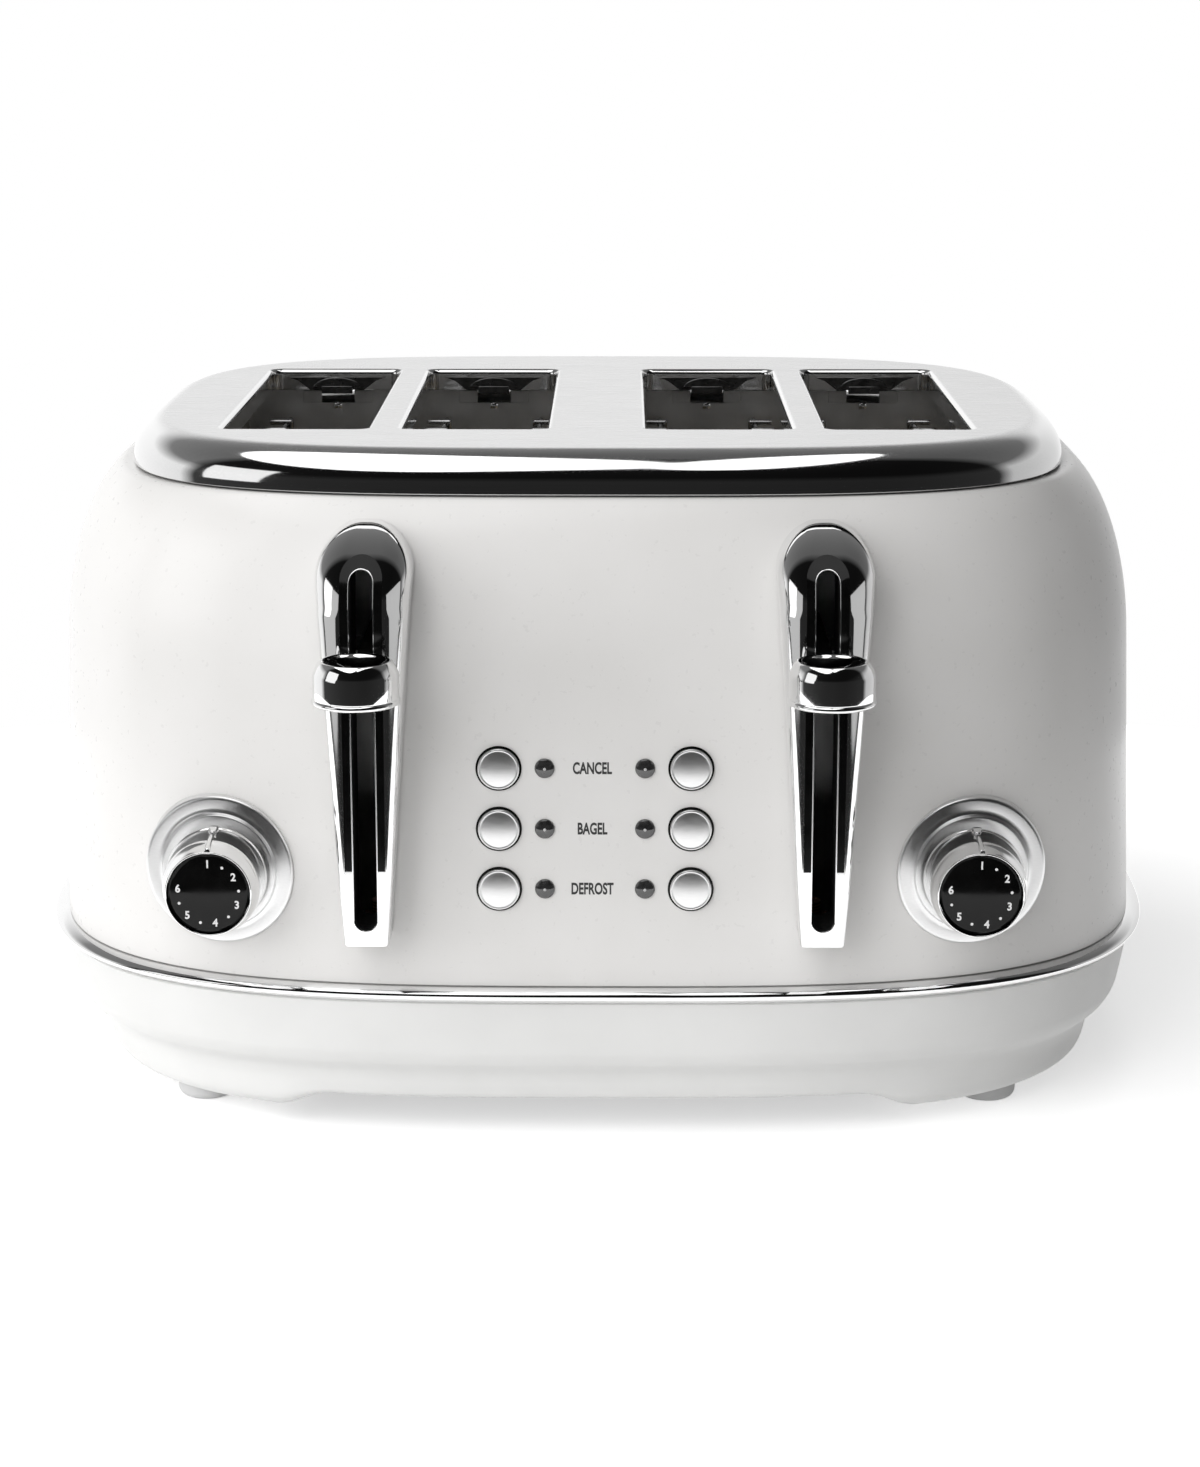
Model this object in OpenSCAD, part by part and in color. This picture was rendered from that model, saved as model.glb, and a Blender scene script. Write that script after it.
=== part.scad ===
// Pop up toaster with four bread slots and two independent lever and carriage sets.
// Millimetres, +Z up, -Y is the front with the levers, z = 0 is the surface it stands on.
// Outlines of the shell, plate, ring and plinth are superellipses about the body's centre.

/* [Body] */
// Half width of the painted body at its lower edge
body_half_w = 156; // [152:0.5:158]
// Half depth of the painted body at its lower edge
body_half_d = 130.5; // [127:0.5:132]
// Height where the body meets the trim ring
body_low_z = 47.5; // [47:0.5:48]
// Height where the body ends under the top plate
body_high_z = 176.7; // [176:0.1:177]
// Sheet thickness of the body
wall = 1.5; // [1:0.1:2]

/* [Top plate] */
// Height of the finished top surface
plate_top_z = 188; // [187:0.5:190]
// Half width of the plate's lower edge
plate_half_w = 132.7; // [131:0.1:134]
// Half depth of the plate's lower edge
plate_half_d = 112.7; // [111:0.1:114]
// Radius of the plate's polished edge
plate_edge_r = 10; // [8:0.5:11]

/* [Bread slots] */
// Width of a slot
slot_w = 40; // [36:0.5:42]
// Length of a slot
slot_l = 135; // [125:1:138]
// Distance from the middle of the toaster to an inner slot
slot_inner_x = 33.8; // [33:0.1:35]
// Distance between the two slots of one side
slot_pitch = 49.7; // [48:0.1:51]

/* [Levers] */
// Distance from the middle to a lever housing
lever_x = 59.5; // [58:0.5:61]
// Distance in front of the body's centre of the knob's axis
knob_front = 155.5; // [155.5:0.1:157]
// Radius of the lever knob
knob_r = 11.4; // [10:0.1:11.4]
// Height of the middle of the lever arm at rest
lever_z = 135; // [134:0.5:136]

/* [Dials] */
// Distance from the middle to a dial
dial_x = 100.3; // [99:0.1:102]
// Height of a dial's axis
dial_z = 77.2; // [75:0.1:80]
// Radius of the dial's flange
flange_r = 20.2; // [19:0.1:21]
// Tilt of the flange towards the side
flange_tilt = 12; // [10:0.5:13]

/* [Buttons] */
// Distance from the middle to a column of buttons
button_x = 25.3; // [25:0.1:26]
// Height of the top row of buttons
button_top_z = 106.9; // [105:0.1:108]
// Distance between two rows
button_pitch = 16.25; // [16:0.05:17]
// Radius of a button's cap
button_r = 5.47; // [5:0.01:5.5]
// Distance from the middle to a column of indicator lenses
lens_x = 13.2; // [13:0.1:14]
// Radius of an indicator lens
lens_r = 2.6; // [2.3:0.1:2.8]

/* [Base] */
// Distance of a foot from the middle, left and right
foot_x = 110.5; // [105:0.5:111]
// Distance of a foot from the middle, front and rear
foot_y = 81; // [75:0.5:82]
// Radius of a foot
foot_r = 8.4; // [7:0.1:8.6]
// Radius of the bore of the cord gland
gland_bore_r = 3.6; // [3:0.1:4]

/* [Hidden] */
$fn = 48;

// The body's centre stands behind the middle of the whole, because the knobs stand out
body_y = (knob_front + knob_r - (body_half_d + 3.2)) / 2;

ring_steps = 96;      // points round a superellipse
sheet = 1.5;          // thickness of the chassis sheets
run_gap = 0.05;       // radial clearance of a running fit
seat_gap = 0.4;       // room between a part's back and the curved body

// Body outline: a straight taper, then a rounded shoulder
taper = 0.043;
taper_from_z = 46;
shoulder_from_z = 130;
shoulder_h = 48;
shoulder_in = 20;
depth_share = 0.91;   // how much of the taper the front and back take

plate_sheet = 1.2;
lip_sheet = 1;
lip_low_z = 181.5;

chassis_low_z = 30.5;
chassis_high_z = 181;
chassis_half_w = 112;
chassis_half_d = 70;
shelf_d = 20.5;       // depth of the front wall's two shelves
shelf_half_w = 92;
shelf_high_z = 174;

card_half_l = 66;
card_low_z = 44;
card_high_z = 166;
card_sheet = 0.8;
ribbon_rows = 10;
ribbon_w = 1.6;
ribbon_sheet = 0.3;

arm_w = 4;
arm_h = 7;
deck_sheet = 3;
deck_high_z = lever_z - arm_h / 2;
rod_r = 2.5;
rod_y = -86;
rod_reach = 26;       // from the middle of a carriage to its rods
rack_top_z = 108;
rack_sheet = 1.5;
prong_l = 13;         // bars across a rack that the bread stands on

lever_slot_w = 6;
lever_slot_low_z = 67;
lever_slot_high_z = 161.8;
housing_low_z = 62.5;
housing_dome_z = 150;
housing_top_z = 171;
housing_front = 143.5;
housing_top_front = 115.6;

guide_open = 13.5;    // from a slot's middle to a guide at rest
guide_wire_r = 0.8;

knob_back = 126.6;    // back of the dial knob, in front of the body's centre
dial_knob_r = 13.4;
dial_knob_l = 18.2;
dial_face_r = 10.8;
spindle_r = 2;

cover_low_z = 11;
cover_sheet = 1.5;
tray_low_z = 13;
tray_in_x = 12;
tray_out_x = 100;
screw_x = 127;
screw_y = 42;
gland_z = 34;

function slot_x(i) = [-1, -1, 1, 1][i] * (slot_inner_x + [1, 0, 0, 1][i] * slot_pitch);
function card_x(i) = slot_inner_x + (i - 0.5) * slot_pitch;

// Shoulder depth and the outline's slope at height z
function shoulder_u(z) = min(0.98, max(0, z - shoulder_from_z) / shoulder_h);
function shoulder(z) = shoulder_in * (1 - sqrt(1 - pow(shoulder_u(z), 2)));
function slope(z) =
    taper + shoulder_in / shoulder_h * shoulder_u(z) / sqrt(1 - pow(shoulder_u(z), 2));
function pull_in(z) = taper * (z - taper_from_z) + shoulder(z);
function body_a(z) = body_half_w - pull_in(z);
function body_b(z) = body_half_d - depth_share * pull_in(z);
function body_n(z) = 3.2 + 0.3 * (z - taper_from_z) / 131;

// Where the body's front surface lies at x and z
function front_y(x, z) =
    -body_b(z) * pow(1 - pow(abs(x) / body_a(z), body_n(z)), 1 / body_n(z));

function superellipse(a, b, n) = [
    for (i = [0 : ring_steps - 1])
        let (t = 360 * i / ring_steps,
             r = pow(pow(abs(cos(t)) / a, n) + pow(abs(sin(t)) / b, n), -1 / n))
        [r * cos(t), r * sin(t)]
];
function ring_at(a, b, n, z) = [for (p = superellipse(a, b, n)) [p[0], p[1], z]];
function body_ring(z, inset) = ring_at(body_a(z) - inset, body_b(z) - inset, body_n(z), z);
function plinth_ring(z, inset) = ring_at(body_half_w - inset, body_half_d - inset, 3.3, z);
function plate_ring(z, inset) = ring_at(plate_half_w - inset, plate_half_d - inset, 3.5, z);

module placed() translate([0, body_y, 0]) children();
module at_dial(s) translate([s * dial_x, 0, dial_z]) children();

// A closed skin over rings of points, each with the same number of points.
// A looped skin joins its last ring to its first, and any other gets two flat ends.
module skin(rings, looped = false) {
    m = len(rings);
    k = len(rings[0]);
    bands = looped ? m : m - 1;
    sides = [
        for (j = [0 : bands - 1], i = [0 : k - 1])
            let (low = j * k, high = ((j + 1) % m) * k, next = (i + 1) % k)
            each [[low + i, high + i, high + next], [low + i, high + next, low + next]]
    ];
    ends = looped ? [] : [[for (i = [0 : k - 1]) i], [for (i = [k - 1 : -1 : 0]) (m - 1) * k + i]];
    polyhedron(points = [for (r = rings) each r], faces = concat(sides, ends));
}

// A bar with a round section along Y
module along_y(r, from_y, to_y) {
    translate([0, from_y, 0]) rotate([-90, 0, 0]) cylinder(r = r, h = to_y - from_y);
}

module rounded_rect(w, l, r) {
    square([w, l - 2 * r], center = true);
    square([w - 2 * r, l], center = true);
    for (x = [-1, 1], y = [-1, 1]) translate([x * (w / 2 - r), y * (l / 2 - r)]) circle(r);
}

// An upright slot with round ends, cut through along Y
module upright_slot(w, low_z, high_z, from_y, to_y) {
    translate([0, to_y, 0]) rotate([90, 0, 0]) linear_extrude(to_y - from_y) {
        translate([-w / 2, low_z + w / 2]) square([w, high_z - low_z - w]);
        for (z = [low_z + w / 2, high_z - w / 2]) translate([0, z]) circle(w / 2);
    }
}

module at_buttons(xs) {
    for (x = xs, row = [0 : 2]) {
        z = button_top_z - row * button_pitch;
        translate([x, front_y(x, z), z]) children();
    }
}

// ---- Outer shell ----

module body_shell() placed() color("whitesmoke") difference() {
    skin(concat(
        [for (z = [body_low_z, 65, 90, 110, 130, 142, 151, 159, 166, 171, 174.5, body_high_z])
            body_ring(z, 0)],
        [body_ring(body_high_z - 0.9, 8), body_ring(body_high_z - 2.2, 8)],
        [for (z = [173, 168, 161, 153, 143, 130, 90, body_low_z])
            body_ring(z, wall * sqrt(1 + pow(slope(z), 2)))]
    ), looped = true);
    for (s = [-1, 1]) translate([s * lever_x, 0, 0])
        upright_slot(8, lever_slot_low_z - 1, lever_slot_high_z + 1, -140, -105);
    for (s = [-1, 1]) at_dial(s) along_y(5, -130, -100);
    at_buttons([-button_x, button_x]) along_y(button_r + 0.4, -5, 8);
    at_buttons([-lens_x, lens_x]) along_y(lens_r + 0.05, -5, 8);
}

module top_plate() placed() color("silver") {
    difference() {
        skin(concat(
            [for (t = [90 : -18 : 0]) plate_ring(
                plate_top_z - plate_edge_r + (plate_edge_r - plate_sheet) * sin(t),
                plate_sheet + (plate_edge_r - plate_sheet) * (1 - cos(t)))],
            [plate_ring(body_high_z, plate_sheet), plate_ring(body_high_z, 0)],
            [for (t = [0 : 15 : 90]) plate_ring(
                plate_top_z - plate_edge_r + plate_edge_r * sin(t),
                plate_edge_r * (1 - cos(t)))]
        ));
        for (i = [0 : 3]) translate([slot_x(i), 0, lip_low_z])
            linear_extrude(10) rounded_rect(slot_w, slot_l, 3);
    }
    for (i = [0 : 3]) translate([slot_x(i), 0, lip_low_z])
        linear_extrude(plate_top_z - plate_sheet / 2 - lip_low_z) difference() {
            rounded_rect(slot_w + 2 * lip_sheet, slot_l + 2 * lip_sheet, 3 + lip_sheet);
            rounded_rect(slot_w, slot_l, 3);
        }
}

// The bright bead, as [height, how far it stands out from the body's lower edge]
bead = [[43, -1.5], [43.9, 2], [45.6, 3.6], [46.9, 2.4], [body_low_z, 0.6], [body_low_z, -5],
        [43, -5]];

module trim_ring() placed() color("gainsboro")
    skin([for (p = bead)
        ring_at(body_half_w + p[1] * 1.1, body_half_d + p[1] * 0.9, 3.2, p[0])], looped = true);

// Plinth section, as [height, inset from the body's lower edge]: outside up, inside down
plinth_outside = [[5.5, 17], [6.5, 14.6], [8, 12.4], [10, 10.9], [14, 10.3], [17, 9.6],
                  [20, 8.3], [22, 6.4], [24, 4.2], [27, 2.4], [30, 1.8], [36, 0.7], [43, -0.5]];
plinth_inside = [[43, 4], [30, 5.2], [26, 6.6], [21, 11.2], [14, 13.2], [10, 14.2], [8, 17],
                 [8, 38], [5.5, 38]];

module base_plinth() placed() color("whitesmoke") {
    difference() {
        skin([for (p = concat(plinth_outside, plinth_inside)) plinth_ring(p[0], p[1])],
             looped = true);
        translate([0, 160, 0]) rotate([90, 0, 0]) linear_extrude(320)
            polygon([[-88, 0], [-86, 5.5], [-76, 10.4], [76, 10.4], [86, 5.5], [88, 0]]);
        for (s = [-1, 1]) translate([s * (tray_in_x + tray_out_x) / 2, 110, tray_low_z + 4])
            cube([tray_out_x - tray_in_x + 1, 50, 9], center = true);
        for (x = [-1, 1], y = [-1, 1]) translate([x * screw_x, y * screw_y, 0])
            cylinder(r = 1.6, h = 9);
        translate([0, 0, gland_z]) along_y(5.3, 115, 135);
    }
    for (x = [-1, 1], y = [-1, 1]) translate([x * screw_x, y * screw_y, 8])
        difference() {
            cylinder(r = 4, h = cover_low_z - 8);
            translate([0, 0, -1]) cylinder(r = 1.6, h = 5);
        }
}

module bottom_cover() placed() color("dimgray") difference() {
    translate([0, 0, cover_low_z]) linear_extrude(cover_sheet)
        polygon(superellipse(body_half_w - 15.5, body_half_d - 15.5, 3.3));
    for (x = [-1, 1], y = [-1, 1]) translate([x * screw_x, y * screw_y, 0])
        cylinder(r = 1.6, h = 20);
    for (x = [-60 : 20 : 60], y = [-60, -40]) translate([x, y, cover_low_z - 1])
        linear_extrude(4) rounded_rect(5, 14, 2);
}

module rubber_feet() placed() color("white")
    for (x = [-1, 1], y = [-1, 1]) translate([x * foot_x, y * foot_y, 0])
        rotate_extrude() polygon([[0, 0], [foot_r - 2.4, 0], [foot_r - 0.7, 0.7],
                                  [foot_r, 2.6], [foot_r, 5.5], [0, 5.5]]);

module cover_screws() placed() color("darkgray")
    for (x = [-1, 1], y = [-1, 1]) translate([x * screw_x, y * screw_y, 0]) difference() {
        union() {
            translate([0, 0, 4]) cylinder(r = 3, h = 1.5);
            translate([0, 0, 5]) cylinder(r = 1.5, h = 9);
        }
        for (a = [0, 90]) rotate(a) translate([0, 0, 4]) cube([3.6, 0.8, 1.4], center = true);
    }

module cord_gland() placed() color("dimgray") translate([0, 0, gland_z]) difference() {
    union() {
        along_y(7, 130.75, 131.6);
        along_y(5.2, 118, 131);
    }
    along_y(gland_bore_r, 110, 140);
}

// ---- Levers ----

function dome_u(z) = max(0, z - housing_dome_z) / (housing_top_z + 0.3 - housing_dome_z);
function housing_y(z) =
    -housing_top_front - (housing_front - housing_top_front) * sqrt(1 - pow(dome_u(z), 2));
function housing_w(z) =
    let (round_z = 159, w = 5.8 + 0.0692 * (min(z, round_z) - housing_low_z))
    w * sqrt(1 - pow(max(0, z - round_z) / (housing_top_z + 0.4 - round_z), 2));

// One level slice of a lever housing: square to the body, rounded at the front corners
function housing_slice(x, z) =
    let (w = housing_w(z), f = housing_y(z),
         r = min(0.62 * w, (front_y(x, z) - f) * 0.8,
                 max(w - 5.5, 1.4) + 0.5 * max(0, z - housing_dome_z)))
    concat(
        [[x - w, front_y(x - w, z) - seat_gap, z]],
        [for (t = [0 : 22.5 : 90]) [x - w + r * (1 - cos(t)), f + r * (1 - sin(t)), z]],
        [for (t = [90 : -22.5 : 0]) [x + w - r * (1 - cos(t)), f + r * (1 - sin(t)), z]],
        [[x + w, front_y(x + w, z) - seat_gap, z]]
    );

module lever_housing(s) placed() color("silver") difference() {
    skin([for (z = [housing_low_z, 80, 100, 120, 135, housing_dome_z, 154, 158, 161, 164, 166.5,
                    168.5, 170, housing_top_z]) housing_slice(s * lever_x, z)]);
    translate([s * lever_x, 0, 0])
        upright_slot(lever_slot_w, lever_slot_low_z, lever_slot_high_z, -150, -105);
}
module lever_housing_left() lever_housing(-1);
module lever_housing_right() lever_housing(1);

// A gloss frame round each lever slot, laid on the housing's front
liner_low_z = 81;
liner_round_z = 159.6;
liner_half_w = 5.4;
function liner_slice(x, z) =
    let (w = liner_half_w * sqrt(1 - pow(max(0, z - liner_round_z) / 5.6, 2)), f = housing_y(z))
    [[x - w, f - 0.02, z], [x - w, f - 0.25, z], [x + w, f - 0.25, z], [x + w, f - 0.02, z]];

module slot_liners() placed() color("black") for (s = [-1, 1]) difference() {
    skin([for (z = [liner_low_z, 110, housing_dome_z, 154, 158, liner_round_z, 161, 162.5, 164, 165])
        liner_slice(s * lever_x, z)]);
    translate([s * lever_x, 0, 0])
        upright_slot(lever_slot_w, lever_slot_low_z, lever_slot_high_z, -150, -125);
}

module lever_knob(s) placed() color("silver") translate([s * (lever_x + 0.5), -knob_front, lever_z])
    difference() {
        rotate_extrude() polygon([
            [0, -4.4], [knob_r - 1.4, -4.4], [knob_r - 0.4, -4.1], [knob_r, -3.5],
            [knob_r - 0.3, -2.9], [knob_r - 0.3, 3.6], [knob_r - 0.9, 4.6],
            [knob_r - 2.1, 6.6], [knob_r - 2.8, 6.8], [knob_r - 3.6, 6.2], [4, 4.6], [0, 4.2]]);
        translate([-s * 0.5 - arm_w / 2 - 0.1, 5, -arm_h / 2 - 0.1])
            cube([arm_w + 0.2, 20, arm_h + 0.2]);
    }
module lever_knob_left() lever_knob(-1);
module lever_knob_right() lever_knob(1);

module lever_arm(s) placed() color("dimgray")
    translate([s * lever_x - arm_w / 2, 5 - knob_front, deck_high_z])
        cube([arm_w, knob_front - 5 - 77, arm_h]);
module lever_arm_left() lever_arm(-1);
module lever_arm_right() lever_arm(1);

module carriage(s) placed() color("lightsteelblue") {
    mid = s * (slot_inner_x + slot_pitch / 2);
    difference() {
        union() {
            translate([mid - 35, -95, deck_high_z - deck_sheet]) cube([70, 19, deck_sheet]);
            for (e = [-1, 1]) translate([mid + e * rod_reach, rod_y, deck_high_z - 9])
                cylinder(r = 4.5, h = 14);
        }
        for (e = [-1, 1]) translate([mid + e * rod_reach, rod_y, deck_high_z - 20])
            cylinder(r = rod_r + run_gap, h = 40);
    }
}
module carriage_left() carriage(-1);
module carriage_right() carriage(1);

module bread_rack(i) placed() color("silver") translate([slot_x(i), 0, 0]) {
    translate([-rack_sheet / 2, -78, rack_top_z - 8]) cube([rack_sheet, 152, 8]);
    translate([-rack_sheet / 2, -78, rack_top_z - 2])
        cube([rack_sheet, 12, deck_high_z - deck_sheet - rack_top_z + 2]);
    for (y = [-54 : 18 : 54]) translate([-prong_l / 2, y, rack_top_z - 1.2])
        rotate([0, 90, 0]) cylinder(r = 1.2, h = prong_l);
}
module bread_rack_1() bread_rack(0);
module bread_rack_2() bread_rack(1);
module bread_rack_3() bread_rack(2);
module bread_rack_4() bread_rack(3);

module guide_rods() placed() color("silver") for (s = [-1, 1], e = [-1, 1])
    translate([s * (slot_inner_x + slot_pitch / 2) + e * rod_reach, rod_y,
               chassis_low_z + sheet])
        cylinder(r = rod_r, h = shelf_high_z - chassis_low_z - sheet);

spring_turns = 15;
module return_spring(s) placed() color("darkgray") {
    low = chassis_low_z + sheet;
    high = deck_high_z - 9;
    translate([s * (slot_inner_x + slot_pitch / 2 + rod_reach), rod_y, 0])
        for (k = [0 : spring_turns - 1])
            translate([0, 0, low + 0.6 + k * (high - low - 1.2) / (spring_turns - 1)])
                rotate_extrude() translate([3.9, 0]) circle(0.55, $fn = 16);
}
module return_spring_left() return_spring(-1);
module return_spring_right() return_spring(1);

latch_drop = 58;      // how far a lever travels down
magnet_top_z = 58.6;
module latch_plate(s) placed() color("gray")
    translate([s * (slot_inner_x + slot_pitch / 2), 0, 0]) {
        translate([-9, rod_y - 6, magnet_top_z + latch_drop + 0.4]) cube([18, 12, 2]);
        translate([-6, rod_y + 5, magnet_top_z + latch_drop + 0.4])
            cube([12, 1.5, deck_high_z - deck_sheet - magnet_top_z - latch_drop - 0.4]);
    }
module latch_plate_left() latch_plate(-1);
module latch_plate_right() latch_plate(1);

module electromagnets() placed() color("peru") for (s = [-1, 1])
    translate([s * (slot_inner_x + slot_pitch / 2), rod_y, chassis_low_z + sheet]) {
        cylinder(r = 8, h = 3);
        cylinder(r = 4, h = magnet_top_z - chassis_low_z - sheet);
        translate([0, 0, 5]) cylinder(r = 7.5, h = 17);
    }

// Wire bread guide i, on side e of its slot: uprights bent outwards at the top
module bread_guide(i, e) placed() color("silver")
    translate([slot_x(i) + e * guide_open, 0, 0]) {
        for (y = [-54 : 18 : 54]) {
            translate([0, y, 46]) cylinder(r = guide_wire_r, h = 127, $fn = 16);
            translate([0, y, 173]) rotate([0, e * 90, 0])
                cylinder(r = guide_wire_r, h = 6.5, $fn = 16);
            translate([0, y, 173]) sphere(r = guide_wire_r, $fn = 16);
        }
        for (z = [46, 172]) translate([e * 1.4, 0, z]) along_y(guide_wire_r, -67, 67);
    }
module bread_guide_1a() bread_guide(0, -1);
module bread_guide_1b() bread_guide(0, 1);
module bread_guide_2a() bread_guide(1, -1);
module bread_guide_2b() bread_guide(1, 1);
module bread_guide_3a() bread_guide(2, -1);
module bread_guide_3b() bread_guide(2, 1);
module bread_guide_4a() bread_guide(3, -1);
module bread_guide_4b() bread_guide(3, 1);

// ---- Chassis and heaters ----

module end_wall(s) {
    h = chassis_high_z - chassis_low_z;
    difference() {
        translate([-chassis_half_w, s > 0 ? chassis_half_d : -chassis_half_d - sheet,
                   chassis_low_z])
            cube([2 * chassis_half_w, sheet, h]);
        for (i = [0 : 3]) translate([slot_x(i), 0, 0])
            upright_slot(4, 38, s > 0 ? 132 : 154, s * 71 - 5, s * 71 + 5);
        if (s > 0) for (i = [0 : 3]) translate([slot_x(i) - 11, 60, chassis_high_z - 4])
            cube([22, 20, 10]);
    }
}

module chassis_front() placed() color("gainsboro") {
    end_wall(-1);
    for (z = [chassis_low_z, shelf_high_z])
        translate([-shelf_half_w, -chassis_half_d - sheet - shelf_d, z])
            cube([2 * shelf_half_w, shelf_d, sheet]);
}

module chassis_rear() placed() color("gainsboro") {
    end_wall(1);
    for (i = [0 : 3]) translate([slot_x(i), 0, chassis_high_z - 7])
        along_y(1.4, chassis_half_d - 0.8, chassis_half_d);
}

module chassis_sides() placed() color("gainsboro") for (s = [-1, 1]) {
    low = cover_low_z + cover_sheet;
    translate([s * (chassis_half_w + sheet / 2), 0, (low + chassis_high_z) / 2])
        cube([sheet, 2 * (chassis_half_d + sheet), chassis_high_z - low], center = true);
}

module heater_cards() placed() color("tan") for (s = [-1, 1], i = [0 : 2])
    translate([s * card_x(i) - card_sheet / 2, -card_half_l, card_low_z])
        cube([card_sheet, 2 * card_half_l, card_high_z - card_low_z]);

// One winding, drawn flat: level runs joined in turn at their two ends
module winding() {
    pitch = (card_high_z - card_low_z - 14) / (ribbon_rows - 1);
    for (k = [0 : ribbon_rows - 1]) {
        translate([-58, card_low_z + 7 + k * pitch - ribbon_w / 2]) square([116, ribbon_w]);
        if (k < ribbon_rows - 1)
            translate([k % 2 == 0 ? 58 - ribbon_w : -58, card_low_z + 7 + k * pitch])
                square([ribbon_w, pitch]);
    }
}

module heating_ribbons() placed() color("darkorange") for (s = [-1, 1], i = [0 : 2], e = [-1, 1])
    translate([s * card_x(i) + e * (card_sheet + ribbon_sheet) / 2 - ribbon_sheet / 2, 0, 0])
        rotate([90, 0, 90]) linear_extrude(ribbon_sheet) winding();

// ---- Dials ----

// A disc that leans with the body's curve, its back shaped by the body
function flange_ring(s, r, y) = [
    for (t = [0 : 10 : 350])
        [s * dial_x + r * cos(t), y + s * r * cos(t) * tan(flange_tilt), dial_z + r * sin(t)]
];
function seat_ring(s, r) = [
    for (t = [0 : 10 : 350])
        let (x = s * dial_x + r * cos(t), z = dial_z + r * sin(t))
        [x, front_y(x, z) - seat_gap, z]
];
flange_front = -121.6;
step_front = -122.8;
step_r = 15.4;

module dial_flange(s) placed() color("gainsboro") difference() {
    skin([seat_ring(s, flange_r), flange_ring(s, flange_r, flange_front + 0.5),
          flange_ring(s, flange_r - 0.6, flange_front), flange_ring(s, step_r + 0.6, flange_front),
          flange_ring(s, step_r, step_front + 0.3), flange_ring(s, step_r - 0.4, step_front),
          flange_ring(s, 8, step_front), seat_ring(s, 8)], looped = true);
}
module dial_flange_left() dial_flange(-1);
module dial_flange_right() dial_flange(1);

// The chrome ring that is turned, with its pointer ridge and its hollow spindle
module dial_knob(s) placed() color("silver") at_dial(s) translate([0, -knob_back, 0]) difference() {
    union() {
        rotate([90, 0, 0]) rotate_extrude() polygon([
            [0, -22], [3.5, -22], [3.5, 0], [dial_knob_r - 0.8, 0], [dial_knob_r, 0.8],
            [dial_knob_r, 1.8], [dial_knob_r - 0.5, 2.4], [dial_knob_r - 0.9, 11.5],
            [dial_knob_r - 2.2, 15.6], [dial_face_r + 0.5, 17.6],
            [dial_face_r + 0.3, dial_knob_l], [dial_face_r + 0.1, dial_knob_l],
            [dial_face_r + 0.1, 15.8], [0, 15.8]]);
        translate([-0.8, -dial_knob_l, dial_face_r + 0.1]) cube([1.6, 12, 2.9]);
        translate([-1.5, -10, dial_face_r + 1]) cube([3, 3.6, 3.2]);
    }
    along_y(spindle_r + run_gap, -30, 30);
}
module dial_knob_left() dial_knob(-1);
module dial_knob_right() dial_knob(1);

// The number face stands still on a pin through the spindle
module dial_face(s) placed() color("black") at_dial(s) translate([0, -knob_back, 0]) {
    along_y(dial_face_r, -dial_knob_l + 0.2, -16.1);
    along_y(spindle_r, -16.2, 26);
}
module dial_face_left() dial_face(-1);
module dial_face_right() dial_face(1);

module rotary_controls() placed() color("steelblue") for (s = [-1, 1]) at_dial(s) {
    difference() {
        translate([-9, -112, -9]) cube([18, 11.4, 18]);
        along_y(3.5 + run_gap, -113, -104.5);
        along_y(spindle_r, -105, -90);
    }
    for (z = [-5, 0, 5]) translate([-s * 11 - 2, -108, z - 0.8]) cube([4, 1, 1.6]);
}

// ---- Buttons, lenses and their board ----

button_travel = 1.5;
board_front_y = -106;
module push_button(s, row) placed() color("silver") {
    x = s * button_x;
    z = button_top_z - row * button_pitch;
    y = front_y(x, z);
    translate([x, y, z]) {
        rotate([90, 0, 0]) rotate_extrude() polygon([
            [0, -6], [button_r, -6], [button_r, 1.2], [button_r - 0.4, 1.6],
            [button_r - 0.9, 1.6], [2.6, 1.25], [0, 1.15]]);
        along_y(button_r + 1.2, 5.4, 6.4);
        along_y(2, 6.4, board_front_y - 4.2 - button_travel - 0.2 - y);
    }
}
module button_cancel_left() push_button(-1, 0);
module button_bagel_left() push_button(-1, 1);
module button_defrost_left() push_button(-1, 2);
module button_cancel_right() push_button(1, 0);
module button_bagel_right() push_button(1, 1);
module button_defrost_right() push_button(1, 2);

module button_bezels() placed() color("black")
    at_buttons([-button_x, button_x]) difference() {
        along_y(button_r + 0.37, -0.35, 5);
        along_y(button_r + 0.1, -1, 6);
    }

module indicator_lenses() placed() color("dimgray")
    at_buttons([-lens_x, lens_x]) rotate([90, 0, 0]) rotate_extrude() polygon(concat(
        [[0, -5], [lens_r, -5]],
        [for (t = [0 : 18 : 90]) [lens_r * cos(t), 0.2 + 0.9 * sin(t)]]));

module control_board() placed() color("darkgreen") {
    low = button_top_z - 2 * button_pitch - 12;
    difference() {
        translate([-34, board_front_y, low]) cube([68, 1.6, 2 * button_pitch + 24]);
        for (x = [-30, 30], z = [low + 4, low + 2 * button_pitch + 20]) translate([x, 0, z])
            along_y(1.6, -110, -100);
    }
    for (x = [-button_x, button_x], row = [0 : 2]) translate([x, board_front_y,
            button_top_z - row * button_pitch]) {
        translate([-3, -3, -3]) cube([6, 3.05, 6]);
        along_y(1.7, -4.2, -2.9);
    }
    for (x = [-lens_x, lens_x], row = [0 : 2])
        translate([x, board_front_y, button_top_z - row * button_pitch]) along_y(1.5, -12, 0.05);
    for (z = [low + 6, low + 2 * button_pitch + 18]) translate([0, board_front_y + 1.6, z])
        along_y(2.5, -0.05, -chassis_half_d - sheet - board_front_y - 1.6);
}

// ---- Crumb trays ----

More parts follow.
